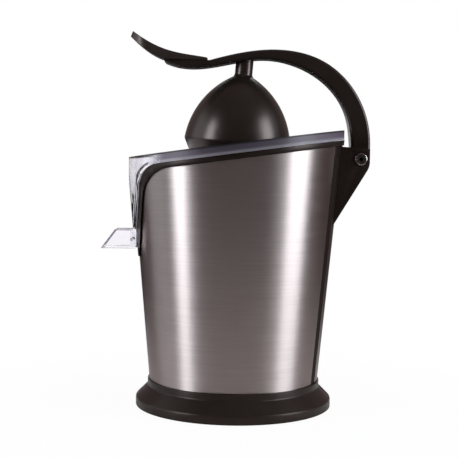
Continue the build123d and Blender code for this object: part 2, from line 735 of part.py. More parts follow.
def bracket_screw_end(z):
    return shell_radius(z) + BRACKET_SCREW_GRIP


def bracket_screw_holes():
    holes = []
    for z in BRACKET_SCREW_LEVELS:
        seat = bracket_screw_seat(z)
        holes.append(rear_rod(SCREW_RADIUS + SCREW_FIT, seat, bracket_screw_end(z) + SCREW_FIT, z))
        holes.append(rear_rod(SCREW_HEAD_RADIUS + SCREW_FIT, seat - 2 * SCREW_HEAD, seat, z))
    return holes


def bracket_screws():
    screws = []
    for z in BRACKET_SCREW_LEVELS:
        seat = bracket_screw_seat(z)
        length = bracket_screw_end(z) - seat
        screws.append(Pos(seat, 0, z) * Rot(0, 90, 0) * screw(SCREW_RADIUS, length))
    return screws


def hinge_pin():
    near = -BRACKET_HALF_WIDTH
    pin = cross_rod(PIN_RADIUS, near, BRACKET_HALF_WIDTH, PIN_X, PIN_Z)
    pin += cross_rod(PIN_HEAD_RADIUS, near - PIN_HEAD, near, PIN_X, PIN_Z)
    return pin - cross_rod(PIN_SOCKET_RADIUS, near - PIN_HEAD, near - PIN_HEAD / 4, PIN_X, PIN_Z)


def pin_cap():
    far = BRACKET_HALF_WIDTH
    cap = cross_rod(PIN_HEAD_RADIUS, far, far + PIN_HEAD, PIN_X, PIN_Z)
    return cap - cross_rod(PIN_SOCKET_RADIUS, far + PIN_HEAD / 4, far + PIN_HEAD, PIN_X, PIN_Z)


def friction_washers():
    washers = []
    for low in (-CHEEK_INNER + WASHER_GAP, ARM_HALF_WIDTH + WASHER_GAP):
        high = low + CHEEK_WASHER - 2 * WASHER_GAP
        washer = cross_rod(ARM_HUB_RADIUS, low, high, PIN_X, PIN_Z)
        washers.append(washer - cross_rod(PIN_RADIUS + RUN_FIT, low, high, PIN_X, PIN_Z))
    return washers


# Lever

def arm_outline():
    hub_back = from_pin((ARM_HUB_RADIUS, 0))
    hub_front = from_pin((-ARM_HUB_RADIUS, 0))
    seat_rear = from_axis(ARM_SEAT_REAR)
    seat_front = from_axis(ARM_SEAT_FRONT)
    toe = from_axis(ARM_TOE)
    back = [from_pin(point) for point in ARM_BACK_CURVE]
    top = [from_axis(point) for point in ARM_TOP_CURVE]
    lower = [from_axis(point) for point in ARM_LOWER_CURVE]
    inner = [from_pin(point) for point in ARM_INNER_CURVE]
    outer_edge = Spline(hub_back, *back, *top, seat_rear)
    inner_edge = Spline(toe, *lower, *inner, hub_front)
    outline = make_face([
        outer_edge,
        Line(seat_rear, seat_front),
        Line(seat_front, toe),
        inner_edge,
        Line(hub_front, hub_back),
    ])
    return outline + Pos(PIN_X, PIN_Z) * Circle(ARM_HUB_RADIUS)


def lever_arm():
    arm = side_prism(arm_outline(), ARM_HALF_WIDTH)
    rim = arm.edges().filter_by(lambda edge: abs(abs(edge.center().Y) - ARM_HALF_WIDTH) < WASHER_GAP)
    long_rim = rim.filter_by(lambda edge: edge.length > 4 * ARM_HUB_RADIUS and edge.center().Z > PIN_Z)
    arm = fillet(long_rim.sort_by(Edge.length)[-4:], ARM_EDGE_ROUND)
    arm -= disc(STEM_RADIUS + STEM_FIT, DOME_EQUATOR_Z, stem_top())
    bore = PIN_RADIUS + RUN_FIT + ARM_BUSH_WALL
    arm -= cross_rod(bore, -2 * ARM_HALF_WIDTH, 2 * ARM_HALF_WIDTH, PIN_X, PIN_Z)
    arm -= grip_screw_bodies(SCREW_FIT, GRIP_SCREW_ACCESS)
    return raised(arm)


def stem_top():
    return PIN_Z + ARM_LOWER_CURVE[2][1] + STEM_SOCKET + STEM_RADIUS / 2


def arm_bush():
    inner = PIN_RADIUS + RUN_FIT
    bush = cross_rod(inner + ARM_BUSH_WALL, -ARM_HALF_WIDTH, ARM_HALF_WIDTH, PIN_X, PIN_Z)
    return raised(bush - cross_rod(inner, -ARM_HALF_WIDTH, ARM_HALF_WIDTH, PIN_X, PIN_Z))


def lever_grip():
    seat_rear = from_axis(ARM_SEAT_REAR)
    seat_front = from_axis(ARM_SEAT_FRONT)
    tip_low = from_axis(GRIP_TIP_LOW)
    tip_top = from_axis(GRIP_TIP_TOP)
    heel = from_axis(GRIP_HEEL)
    outline = make_face([
        Line(seat_rear, seat_front),
        Spline(seat_front, *[from_axis(point) for point in GRIP_LOWER_CURVE], tip_low),
        Line(tip_low, tip_top),
        Spline(tip_top, *[from_axis(point) for point in GRIP_TOP_CURVE], heel),
        Line(heel, seat_rear),
    ])
    grip = side_prism(outline, GRIP_HALF_WIDTH)
    centre_x = GRIP_TIP_LOW[0] + GRIP_HALF_WIDTH
    tail_x = ARM_SEAT_REAR[0]
    plan = Pos(centre_x, 0) * Circle(GRIP_HALF_WIDTH)
    plan += make_face(Polyline(
        (centre_x, -GRIP_HALF_WIDTH),
        (tail_x, -ARM_HALF_WIDTH),
        (tail_x, ARM_HALF_WIDTH),
        (centre_x, GRIP_HALF_WIDTH),
        close=True,
    ))
    grip &= Pos(0, 0, PIN_Z) * extrude(plan, TOP_Z)
    return raised(grip - grip_screw_bodies(SCREW_FIT, SCREW_HEAD))


def grip_seat_z(x):
    run = (x - ARM_SEAT_REAR[0]) / (ARM_SEAT_FRONT[0] - ARM_SEAT_REAR[0])
    return PIN_Z + ARM_SEAT_REAR[1] + run * (ARM_SEAT_FRONT[1] - ARM_SEAT_REAR[1])


def grip_screw_bodies(grow, access):
    """Two screws up through the arm into the grip, heads sunk in the arm's underside."""
    bodies = []
    for x in GRIP_SCREW_XS:
        low = grip_seat_z(x) - 2 * SCREW_HEAD
        body = disc(SCREW_HEAD_RADIUS + grow, low - access, low, x)
        body += disc(SCREW_RADIUS + grow, low, grip_seat_z(x) + GRIP_SCREW_BITE + grow, x)
        bodies.append(body)
    return bodies


def grip_screws():
    return [raised(body) for body in grip_screw_bodies(0, SCREW_HEAD)]


def press_stem():
    stem = disc(STEM_RADIUS, DOME_TOP_Z, stem_top())
    return raised(stem - disc(SCREW_RADIUS + SCREW_FIT, DOME_TOP_Z, stem_top() - SCREW_HEAD))


def dome_outline(inset):
    """Half section of the press cup's skin, moved inwards by inset."""
    equator = DOME_EQUATOR_Z
    skirt_z = equator - DOME_SKIRT_DROP
    shoulder = (DOME_SHOULDER[0] - inset, equator + DOME_SHOULDER[1] - inset / 2)
    top = (DOME_TOP_RADIUS, DOME_TOP_Z - inset)
    side = (DOME_RADIUS - inset, equator)
    band = (DOME_RADIUS - inset, equator - DOME_BAND)
    foot = (DOME_SKIRT_RADIUS - inset, skirt_z)
    return [
        Line((0, skirt_z), foot),
        Line(foot, band),
        Line(band, side),
        ThreePointArc(side, shoulder, top),
        Line(top, (0, top[1])),
        Line((0, top[1]), (0, skirt_z)),
    ]


def press_dome():
    outer = revolve(Plane.XZ * make_face(dome_outline(0)), Axis.Z)
    inner = revolve(Plane.XZ * make_face(dome_outline(DOME_WALL)), Axis.Z)
    dome = outer - inner
    return raised(dome - disc(SCREW_RADIUS + SCREW_FIT, DOME_EQUATOR_Z, DOME_TOP_Z))


def dome_screw():
    seat = DOME_TOP_Z - DOME_WALL
    length = DOME_WALL + STEM_RADIUS
    return raised(Pos(0, 0, seat) * screw(SCREW_RADIUS, length))


# Reamer, shaft and press mechanism

def cone_outline(grow):
    """Half section of the reamer's skin with a small flat tip, moved outwards by grow."""
    foot = (CONE_RADIUS + grow, CONE_Z)
    skirt = (CONE_RADIUS + grow, CONE_Z - CONE_SKIRT)
    tip = (CONE_TIP_RADIUS, CONE_Z + CONE_HEIGHT + grow)
    chord_mid = ((CONE_RADIUS + CONE_TIP_RADIUS) / 2 + CONE_BULGE + grow,
                 CONE_Z + CONE_HEIGHT / 2 + CONE_BULGE + grow)
    return make_face([
        Line((0, CONE_Z - CONE_SKIRT), skirt),
        Line(skirt, foot),
        ThreePointArc(foot, chord_mid, tip),
        Line(tip, (0, tip[1])),
        Line((0, tip[1]), (0, CONE_Z - CONE_SKIRT)),
    ])


def hub_outline(radius, z_low, z_high):
    return make_face(Polyline((0, z_low), (radius, z_low), (radius, z_high), (0, z_high), close=True))


def reamer_cone():
    hollow = Pos(0, -CONE_WALL) * cone_outline(-CONE_WALL)
    section = cone_outline(0) - hollow
    section += hub_outline(CONE_HUB_RADIUS, CONE_Z - CONE_SKIRT, CONE_Z + CONE_HEIGHT) & cone_outline(0)
    section += hub_outline(CONE_HUB_RADIUS, CONE_HUB_LOW, CONE_Z)
    section -= hub_outline(SHAFT_RADIUS + PIN_FIT, CONE_HUB_LOW, SHAFT_SHOULDER_Z + PIN_FIT)
    cone = revolve(Plane.XZ * section, Axis.Z)
    crest = revolve(Plane.XZ * (cone_outline(RIB_PROUD) - cone_outline(-CONE_WALL / 2)), Axis.Z)
    rib = block(0, 2 * CONE_RADIUS, RIB_WIDTH / 2, CONE_Z, CONE_Z + CONE_HEIGHT - RIB_TOP_GAP)
    for k in range(CONE_RIBS):
        cone += Rot(0, 0, 360 / CONE_RIBS * k) * (rib & crest)
    return cone - drive_end(PIN_FIT)


def drive_end(grow):
    """Flatted upper end of the shaft that turns the reamer."""
    rod = disc(DRIVE_FLAT_RADIUS + grow, SHAFT_SHOULDER_Z, SHAFT_TOP_Z + grow)
    flats = block(-2 * DRIVE_FLAT_RADIUS, 2 * DRIVE_FLAT_RADIUS, DRIVE_FLAT + grow,
                  SHAFT_SHOULDER_Z, SHAFT_TOP_Z + grow)
    return rod & flats


def drive_shaft():
    return disc(SHAFT_RADIUS, SHAFT_LOW_Z, SHAFT_SHOULDER_Z) + drive_end(0)


def thrust_plate():
    plate = disc(OUTPUT_BOSS_RADIUS, THRUST_LOW, THRUST_TOP)
    reach = abs(SWITCH_Y) + THRUST_ARM_WIDTH / 2
    arm = Pos(0, -reach / 2, THRUST_LOW) * Box(THRUST_ARM_WIDTH, reach, THRUST_THICKNESS, align=BOTTOM)
    plate += arm
    return plate - disc(SHAFT_RADIUS + RUN_FIT, THRUST_LOW, THRUST_TOP)


def return_spring():
    low = CASE_INSIDE_Z + SPRING_WIRE + SEAT_GAP
    high = THRUST_LOW - SPRING_WIRE - SEAT_GAP
    path = Pos(0, 0, low) * Helix((high - low) / SPRING_TURNS, high - low, SPRING_RADIUS)
    section = Plane(path @ 0, z_dir=path % 0) * Circle(SPRING_WIRE)
    return sweep(section, path, is_frenet=True)


# Gears

def gear_face(module, teeth, phase):
    """Involute outline: each flank is an arc through three points of its involute."""
    pressure = math.radians(PRESSURE_ANGLE)
    pitch = module * teeth / 2
    base = pitch * math.cos(pressure)
    tip = pitch + ADDENDUM * module
    root = pitch - DEDENDUM * module
    foot = max(base, root)
    involute_at_pitch = math.tan(pressure) - pressure
    pitch_half = math.pi / (2 * teeth) - BACKLASH * module / (2 * pitch)

    def half_angle(radius):
        roll = math.acos(min(base / radius, 1.0))
        return pitch_half + involute_at_pitch - (math.tan(roll) - roll)

    edges = []
    middle = (foot + tip) / 2
    for k in range(teeth):
        centre = phase + 2 * math.pi * k / teeth
        following = centre + 2 * math.pi / teeth
        rising = [polar(r, centre - half_angle(r)) for r in (foot, middle, tip)]
        falling = [polar(r, centre + half_angle(r)) for r in (tip, middle, foot)]
        root_in = polar(root, centre - half_angle(foot))
        root_out = polar(root, centre + half_angle(foot))
        root_next = polar(root, following - half_angle(foot))
        if foot > root:
            edges.append(Line(root_in, rising[0]))
        edges.append(ThreePointArc(*rising))
        edges.append(ThreePointArc(rising[2], polar(tip, centre), falling[0]))
        edges.append(ThreePointArc(*falling))
        if foot > root:
            edges.append(Line(falling[2], root_out))
        edges.append(ThreePointArc(root_out, polar(root, (centre + following) / 2), root_next))
    return make_face(edges)


def spur_gear(module, teeth, phase, z_low, width):
    return Pos(0, 0, z_low) * extrude(gear_face(module, teeth, phase), width)


def output_gear():
    gear = spur_gear(COARSE_MODULE, OUTPUT_TEETH, math.pi, OUTPUT_Z, OUTPUT_WIDTH)
    gear += disc(OUTPUT_BOSS_RADIUS, OUTPUT_Z - OUTPUT_BOSS, OUTPUT_Z)
    return gear - disc(SHAFT_RADIUS, OUTPUT_Z - OUTPUT_BOSS, OUTPUT_Z + OUTPUT_WIDTH)


def idler_gear():
    wheel = spur_gear(FINE_MODULE, WHEEL_TEETH, math.radians(MOTOR_SWING), WHEEL_Z, WHEEL_WIDTH)
    pinion = spur_gear(COARSE_MODULE, PINION_TEETH, math.pi / PINION_TEETH, PINION_Z, PINION_WIDTH)
    root = COARSE_MODULE * (PINION_TEETH / 2 - DEDENDUM)
    gear = wheel + pinion + disc(root, WHEEL_Z, PINION_Z)
    gear -= disc(IDLER_PIN_RADIUS + RUN_FIT, WHEEL_Z, PINION_Z + PINION_WIDTH)
    return Pos(IDLER_X, 0, 0) * gear


def idler_pin():
    return disc(IDLER_PIN_RADIUS, CASE_FLOOR_Z, COVER_Z, IDLER_X)


def motor_pinion():
    phase = math.radians(MOTOR_SWING) + math.pi + math.pi / MOTOR_TEETH
    gear = spur_gear(FINE_MODULE, MOTOR_TEETH, phase, WHEEL_Z, WHEEL_WIDTH)
    return Pos(MOTOR_X, MOTOR_Y, 0) * (gear - disc(MOTOR_SHAFT_RADIUS, WHEEL_Z, WHEEL_Z + WHEEL_WIDTH))


# Gearbox

def case_circles():
    """Centre and radius of the room that each gear and motor post needs."""
    tip_room = ADDENDUM + CASE_ROOM
    rooms = [
        (0, 0, COARSE_MODULE * OUTPUT_TEETH / 2 + tip_room),
        (IDLER_X, 0, FINE_MODULE * WHEEL_TEETH / 2 + tip_room),
        (MOTOR_X, MOTOR_Y, FINE_MODULE * MOTOR_TEETH / 2 + tip_room),
    ]
    return rooms + [(x, y, MOTOR_POST_RADIUS + CASE_ROOM) for x, y in MOTOR_POSTS]


def case_plan(grow):
    edges = []
    for x, y, radius in case_circles():
        edges += (Pos(x, y) * Circle(radius + grow)).edges()
    return make_hull(edges)


def case_ears():
    """Screw places round the gearbox: two beside the output gear, two beside the idler."""
    room = case_circles()
    out = room[0][2] + CASE_WALL + CASE_EAR_RADIUS - CASE_ROOM
    side = room[1][2] + CASE_WALL + CASE_EAR_RADIUS - CASE_ROOM
    turn = math.radians(CASE_EAR_TURN)
    return [
        polar(out, turn / 2),
        polar(out, -turn),
        (IDLER_X + polar(side, math.pi + turn)[0], polar(side, math.pi + turn)[1]),
        (IDLER_X + polar(side, math.pi - turn)[0], polar(side, math.pi - turn)[1]),
    ]


def case_plan_with_ears():
    plan = case_plan(CASE_WALL)
    for place in case_ears():
        plan += Pos(*place) * Circle(CASE_EAR_RADIUS)
    return plan


def ear_holes(z_low, z_high):
    return [disc(SCREW_RADIUS + SCREW_FIT, z_low, z_high, *place) for place in case_ears()]


def gearbox_case():
    case = Pos(0, 0, CASE_FLOOR_Z) * extrude(case_plan(CASE_WALL), COVER_Z - CASE_FLOOR_Z)
    ear_z = COVER_Z - CASE_EAR_RADIUS
    case += Pos(0, 0, ear_z) * extrude(case_plan_with_ears(), CASE_EAR_RADIUS)
    case -= Pos(0, 0, CASE_INSIDE_Z) * extrude(case_plan(0), COVER_Z - CASE_INSIDE_Z)
    case -= disc(SHAFT_RADIUS + BUSH_WALL, CASE_FLOOR_Z, CASE_INSIDE_Z)
    case -= disc(IDLER_PIN_RADIUS, CASE_FLOOR_Z, CASE_INSIDE_Z, IDLER_X)
    case -= disc(MOTOR_SHAFT_RADIUS + BEARING_WALL, CASE_FLOOR_Z, CASE_INSIDE_Z, MOTOR_X, MOTOR_Y)
    case -= [disc(LONG_SCREW_RADIUS + SCREW_FIT, CASE_FLOOR_Z, CASE_INSIDE_Z, *post) for post in MOTOR_POSTS]
    return case - ear_holes(ear_z, COVER_Z)


def gearbox_cover():
    cover = Pos(0, 0, COVER_Z) * extrude(case_plan_with_ears(), COVER_THICKNESS)
    cover -= disc(SHAFT_RADIUS + BUSH_WALL + SCREW_FIT, COVER_Z, DECK_Z)
    return cover - ear_holes(COVER_Z, DECK_Z)


def gearbox_screws():
    seat = COVER_Z - CASE_EAR_RADIUS
    length = DECK_Z - seat + DECK_THICKNESS - SCREW_FIT
    return [Pos(*place, seat) * screw(SCREW_RADIUS, length) for place in case_ears()]


# Start switch

def start_switch():
    body = Pos(SWITCH_X, SWITCH_Y, CASE_INSIDE_Z) * Box(
        SWITCH_LENGTH, SWITCH_WIDTH, SWITCH_HEIGHT, align=BOTTOM)
    return body - disc(PLUNGER_RADIUS + RUN_FIT, CASE_INSIDE_Z + PLUNGER_DEPTH, SWITCH_TOP, 0, SWITCH_Y)


def switch_plunger():
    low = CASE_INSIDE_Z + PLUNGER_DEPTH + PRESS_TRAVEL + PLUNGER_GAP
    return disc(PLUNGER_RADIUS, low, THRUST_LOW - PLUNGER_GAP, 0, SWITCH_Y)


# Motor

def at_motor(shape):
    """Puts a piece drawn about its own axis on the motor's axis, one flat facing outwards."""
    return Pos(MOTOR_X, MOTOR_Y, 0) * Rot(0, 0, math.degrees(MOTOR_TURN)) * shape


def coil_windows(grow):
    depth = COIL_DEPTH + 2 * grow
    width = COIL_LEG + 2 * grow
    y_mid = COIL_LEG_INNER + COIL_LEG / 2
    leg = Pos(0, 0, STACK_LOW) * Box(depth, width, STACK_HEIGHT, align=BOTTOM)
    return [Pos(x, y, 0) * leg for x in (-COIL_OUT, COIL_OUT) for y in (-y_mid, y_mid)]


def motor_stator():
    stack = Pos(0, 0, STACK_LOW) * Box(STACK_SIDE, STACK_SIDE, STACK_HEIGHT, align=BOTTOM)
    stack = fillet(stack.edges().filter_by(Axis.Z), COIL_LEG)
    stack -= disc(ROTOR_RADIUS + ROTOR_AIR_GAP, STACK_LOW, STACK_TOP)
    stack -= coil_windows(COIL_GAP)
    for y in (-MOTOR_POST_OUT, MOTOR_POST_OUT):
        stack -= disc(LONG_SCREW_RADIUS + SCREW_FIT, STACK_LOW, STACK_TOP, 0, y)
    return at_motor(stack)


def motor_windings():
    leg_outer = COIL_LEG_INNER + COIL_LEG
    low = STACK_LOW - COIL_GAP - COIL_END
    high = STACK_TOP + COIL_GAP + COIL_END
    outer = Pos(0, 0, low) * Box(COIL_DEPTH, 2 * leg_outer, high - low, align=BOTTOM)
    outer = fillet(outer.edges().filter_by(Axis.X), COIL_LEG / 2)
    inner = Pos(0, 0, STACK_LOW - COIL_GAP) * Box(
        COIL_DEPTH, 2 * COIL_LEG_INNER, STACK_HEIGHT + 2 * COIL_GAP, align=BOTTOM)
    coil = outer - inner
    return [at_motor(Pos(x, 0, 0) * coil) for x in (-COIL_OUT, COIL_OUT)]


def motor_rotor():
    core = disc(ROTOR_RADIUS, STACK_LOW, STACK_TOP)
    slot = Pos(ROTOR_RADIUS, 0, STACK_LOW) * Box(2 * FAN_BLADE, FAN_BLADE, STACK_HEIGHT, align=BOTTOM)
    core -= [Rot(0, 0, 360 / ROTOR_SLOTS * k) * slot for k in range(ROTOR_SLOTS)]
    return at_motor(core - disc(MOTOR_SHAFT_RADIUS, STACK_LOW, STACK_TOP))


def motor_shaft():
    low = MOTOR_BRACKET_Z - BEARING_LENGTH / 2
    return disc(MOTOR_SHAFT_RADIUS, low, WHEEL_Z + WHEEL_WIDTH, MOTOR_X, MOTOR_Y)


def motor_bearings():
    inner = MOTOR_SHAFT_RADIUS + RUN_FIT
    outer = MOTOR_SHAFT_RADIUS + BEARING_WALL
    upper = tube(outer, inner, CASE_INSIDE_Z - BEARING_LENGTH, CASE_INSIDE_Z, MOTOR_X, MOTOR_Y)
    lower_z = MOTOR_BRACKET_Z
    lower = tube(outer, inner, lower_z, lower_z + MOTOR_BRACKET, MOTOR_X, MOTOR_Y)
    return [upper, lower]


def cooling_fan():
    top = STACK_LOW - COIL_GAP - COIL_END - FAN_GAP
    low = top - FAN_HEIGHT
    fan = disc(FAN_HUB_RADIUS, low, top) + disc(FAN_RADIUS, low, low + FAN_BLADE)
    blade = Pos(0, 0, low) * Box(
        FAN_RADIUS, FAN_BLADE, FAN_HEIGHT, align=(Align.MIN, Align.CENTER, Align.MIN))
    for k in range(FAN_BLADES):
        fan += Rot(0, 0, 360 / FAN_BLADES * k) * blade
    return at_motor(fan - disc(MOTOR_SHAFT_RADIUS, low, top))


def motor_bracket():
    top = MOTOR_BRACKET_Z + MOTOR_BRACKET
    width = 2 * (MOTOR_SHAFT_RADIUS + BEARING_WALL + MOTOR_POST_RADIUS)
    length = 2 * (MOTOR_POST_OUT + MOTOR_POST_RADIUS)
    bar = Pos(0, 0, MOTOR_BRACKET_Z) * Box(width, length, MOTOR_BRACKET, align=BOTTOM)
    for y in (-MOTOR_POST_OUT, MOTOR_POST_OUT):
        bar += disc(MOTOR_POST_RADIUS, top, STACK_LOW, 0, y)
        bar -= disc(LONG_SCREW_RADIUS + SCREW_FIT, MOTOR_BRACKET_Z, STACK_LOW, 0, y)
    return at_motor(bar - disc(MOTOR_SHAFT_RADIUS + BEARING_WALL, MOTOR_BRACKET_Z, top))


def motor_spacers():
    return [
        tube(MOTOR_POST_RADIUS, LONG_SCREW_RADIUS + SCREW_FIT, STACK_TOP, CASE_FLOOR_Z, *post)
        for post in MOTOR_POSTS
    ]


def motor_screws():
    length = CASE_INSIDE_Z - MOTOR_BRACKET_Z - SCREW_FIT
    one = screw(LONG_SCREW_RADIUS, length)
    return [Pos(*post, MOTOR_BRACKET_Z) * one for post in MOTOR_POSTS]


# One node per physical piece

NODES = {
    "base_ring": base_ring,
    "cord_gland": cord_gland,
    "bottom_plate": bottom_plate,
    "foot_ring": foot_ring,
    "bottom_screws": bottom_screws,
    "steel_shell": steel_shell,
    "rear_spine": rear_spine,
    "rear_panel": rear_panel,
    "rim_trim": rim_trim,
    "inner_frame": inner_frame,
    "shaft_seal": shaft_seal,
    "shaft_bushes": shaft_bushes,
    "juice_bowl": juice_bowl,
    "outlet_seal": outlet_seal,
    "strainer": strainer,
    "juice_spout": juice_spout,
    "spout_pins": lambda: spout_pin_rods(SPOUT_PIN_RADIUS),
    "hinge_bracket": hinge_bracket,
    "bracket_screws": bracket_screws,
    "hinge_pin": hinge_pin,
    "pin_cap": pin_cap,
    "friction_washers": friction_washers,
    "lever_arm": lever_arm,
    "arm_bush": arm_bush,
    "lever_grip": lever_grip,
    "grip_screws": grip_screws,
    "press_stem": press_stem,
    "press_dome": press_dome,
    "dome_screw": dome_screw,
    "reamer_cone": reamer_cone,
    "drive_shaft": drive_shaft,
    "thrust_plate": thrust_plate,
    "return_spring": return_spring,
    "output_gear": output_gear,
    "idler_gear": idler_gear,
    "idler_pin": idler_pin,
    "motor_pinion": motor_pinion,
    "gearbox_case": gearbox_case,
    "gearbox_cover": gearbox_cover,
    "gearbox_screws": gearbox_screws,
    "start_switch": start_switch,
    "switch_plunger": switch_plunger,
    "motor_stator": motor_stator,
    "motor_windings": motor_windings,
    "motor_rotor": motor_rotor,
    "motor_shaft": motor_shaft,
    "motor_bearings": motor_bearings,
    "cooling_fan": cooling_fan,
    "motor_bracket": motor_bracket,
    "motor_spacers": motor_spacers,
    "motor_screws": motor_screws,
}

os.makedirs("parts", exist_ok=True)
for name, make in NODES.items():
    shape = make()
    if isinstance(shape, list):
        shape = Compound(children=[Part(piece.wrapped) for piece in shape])
    export_step(shape, os.path.join("parts", name + ".step"))
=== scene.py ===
# %% [markdown]
# # Electric citrus juicer
# A tapered body of brushed steel stands on a black base. A clear bowl sits in its slanted
# mouth, and a curved arm, hinged at the back, presses a domed cup down on the reamer.
# The CAD model already holds every piece at its real size. This lesson loads it as a fixed
# frame, gives each piece its finish, and models the outer pieces again where moulded
# edges, hollows and ribs have to catch the light as the real ones do.

# %% Load the frame
import json
import math

import bmesh
import bpy
import numpy as np
from mathutils import Matrix, Vector

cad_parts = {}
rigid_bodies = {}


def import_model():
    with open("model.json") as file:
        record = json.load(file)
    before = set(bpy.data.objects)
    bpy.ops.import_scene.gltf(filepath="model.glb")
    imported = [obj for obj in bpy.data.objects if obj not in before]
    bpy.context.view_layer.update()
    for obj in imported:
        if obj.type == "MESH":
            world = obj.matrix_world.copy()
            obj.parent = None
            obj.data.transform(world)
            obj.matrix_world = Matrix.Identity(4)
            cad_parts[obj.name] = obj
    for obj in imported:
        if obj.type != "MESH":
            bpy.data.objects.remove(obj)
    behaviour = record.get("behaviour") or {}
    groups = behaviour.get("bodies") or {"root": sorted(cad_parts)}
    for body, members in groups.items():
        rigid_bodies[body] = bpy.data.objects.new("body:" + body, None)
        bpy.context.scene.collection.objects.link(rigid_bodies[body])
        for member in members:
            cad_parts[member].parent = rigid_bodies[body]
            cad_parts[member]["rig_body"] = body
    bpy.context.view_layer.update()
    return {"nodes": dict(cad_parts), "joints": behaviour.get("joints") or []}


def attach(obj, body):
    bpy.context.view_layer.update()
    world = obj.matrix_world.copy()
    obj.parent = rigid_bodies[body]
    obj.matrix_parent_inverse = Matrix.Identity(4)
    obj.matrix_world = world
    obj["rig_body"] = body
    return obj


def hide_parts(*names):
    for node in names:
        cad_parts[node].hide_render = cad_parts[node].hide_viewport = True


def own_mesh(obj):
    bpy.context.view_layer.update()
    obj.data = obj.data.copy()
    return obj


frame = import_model()
nodes = frame["nodes"]
MM = 0.001

# %% [markdown]
# ## Colours and shader nodes
# Colours are written as sRGB hex values, as a colour picker shows them, and shader sockets
# want linear light, so one function turns one into the other. A second one adds a shader
# node: a plain value is typed into a socket, and another node's output is linked to it.

# %% Colour and node helpers
def hex_rgb(code):
    """Linear RGBA of an sRGB hex colour."""
    shares = [int(code[i:i + 2], 16) / 255 for i in (1, 3, 5)]
    return (*[s / 12.92 if s <= 0.04045 else ((s + 0.055) / 1.055) ** 2.4 for s in shares], 1.0)


def add(tree, kind, inputs, **settings):
    """Adds one shader node with its settings and links."""
    node = tree.nodes.new("ShaderNode" + kind)
    for name, value in settings.items():
        setattr(node, name, value)
    for socket, value in inputs.items():
        if isinstance(value, bpy.types.NodeSocket):
            tree.links.new(value, node.inputs[socket])
        else:
            node.inputs[socket].default_value = value
    return node


def blank_material(name):
    """An empty node material, with the place on the piece that its patterns are drawn on."""
    material = bpy.data.materials.new(name)
    material.use_nodes = True
    material.node_tree.nodes.clear()
    place = add(material.node_tree, "TexCoord", {}).outputs["Object"]
    return material, material.node_tree, place


WHITE = hex_rgb("#FFFFFF")
print("#808080 is", round(hex_rgb("#808080")[0], 3), "in linear light")

# %% [markdown]
# ## The studio
# The machine stands on a pale floor in front of white. The floor could be lit until it is
# white, but that would bleach the machine too. So the white is shown only to the rays that
# look at the background: the camera's, and those that clear plastic or steel bends straight
# back. Rays that go elsewhere see a dim, slightly warm room, which keeps the depth of steel
# and black plastic and draws the dark rims of clear plastic.

# %% World
ROOM_COLOUR = "#FFDFDB"
ROOM_FRONT = 0.08
ROOM_SIDES = 0.20
SIDES_EDGE = (-0.2, 0.35)
SEEN_THROUGH_EDGE = (0.0, 0.6)
MIRRORED_EDGE = (0.93, 0.995)

scene = bpy.context.scene
scene.view_settings.view_transform = "Standard"
world = bpy.data.worlds.new("studio_room")
scene.world = world
world.use_nodes = True
world.cycles.sampling_method = "NONE"
room = world.node_tree
room.nodes.clear()
ray = add(room, "LightPath", {}).outputs
direction = add(room, "TexCoord", {}).outputs["Generated"]
behind = add(room, "VectorMath", {0: direction, 1: (0, 1, 0)}, operation="DOT_PRODUCT")
masks = []
for low, high in (SIDES_EDGE, SEEN_THROUGH_EDGE, MIRRORED_EDGE):
    mask = add(room, "MapRange", {
        "Value": behind.outputs["Value"], "From Min": low, "From Max": high,
    }, interpolation_type="SMOOTHSTEP")
    masks.append(mask.outputs["Result"])
at_sides, seen_through, straight_back = masks
dim = add(room, "MapRange", {"Value": at_sides, "To Min": ROOM_FRONT, "To Max": ROOM_SIDES})
through = add(room, "Math", {0: ray["Is Transmission Ray"], 1: seen_through}, operation="MULTIPLY")
mirrored = add(room, "Math", {0: ray["Is Glossy Ray"], 1: straight_back}, operation="MULTIPLY")
bent = add(room, "Math", {0: through.outputs[0], 1: mirrored.outputs[0]}, operation="MAXIMUM")
white = add(room, "Math", {0: ray["Is Camera Ray"], 1: bent.outputs[0]}, operation="MAXIMUM")
level = add(room, "MapRange", {
    "Value": white.outputs[0], "To Min": dim.outputs["Result"], "To Max": 1.0})
warm = add(room, "Mix", {
    0: white.outputs[0], 6: hex_rgb(ROOM_COLOUR), 7: WHITE}, data_type="RGBA")
glow = add(room, "Background", {"Color": warm.outputs[2], "Strength": level.outputs["Result"]})
add(room, "OutputWorld", {"Surface": glow.outputs["Background"]})
print("room level", ROOM_FRONT, "in front and", ROOM_SIDES, "at the sides")

# %% [markdown]
# ## Floor
# The floor is painted board. Seen straight, it is the white of the background, less a little near the
# machine, where its own shade lets the shadow show. As the steel mirrors it, its colour goes from pale
# beside the machine to dark further off: a painted pool of light, as a lit table looks in a dim room.

# %% Floor
FLOOR_HALF = 6.0
FLOOR_SHADOW_NEAR = 0.10
FLOOR_SHADOW_FAR = 0.35
FLOOR_WHITE_SHARE = 0.96
FLOOR_PAINTED_FADE_NEAR = 0.15
FLOOR_PAINTED_FADE_FAR = 0.6
FLOOR_PAINTED_LIT = "#F8F2F0"
FLOOR_PAINTED_UNLIT = "#403D3C"

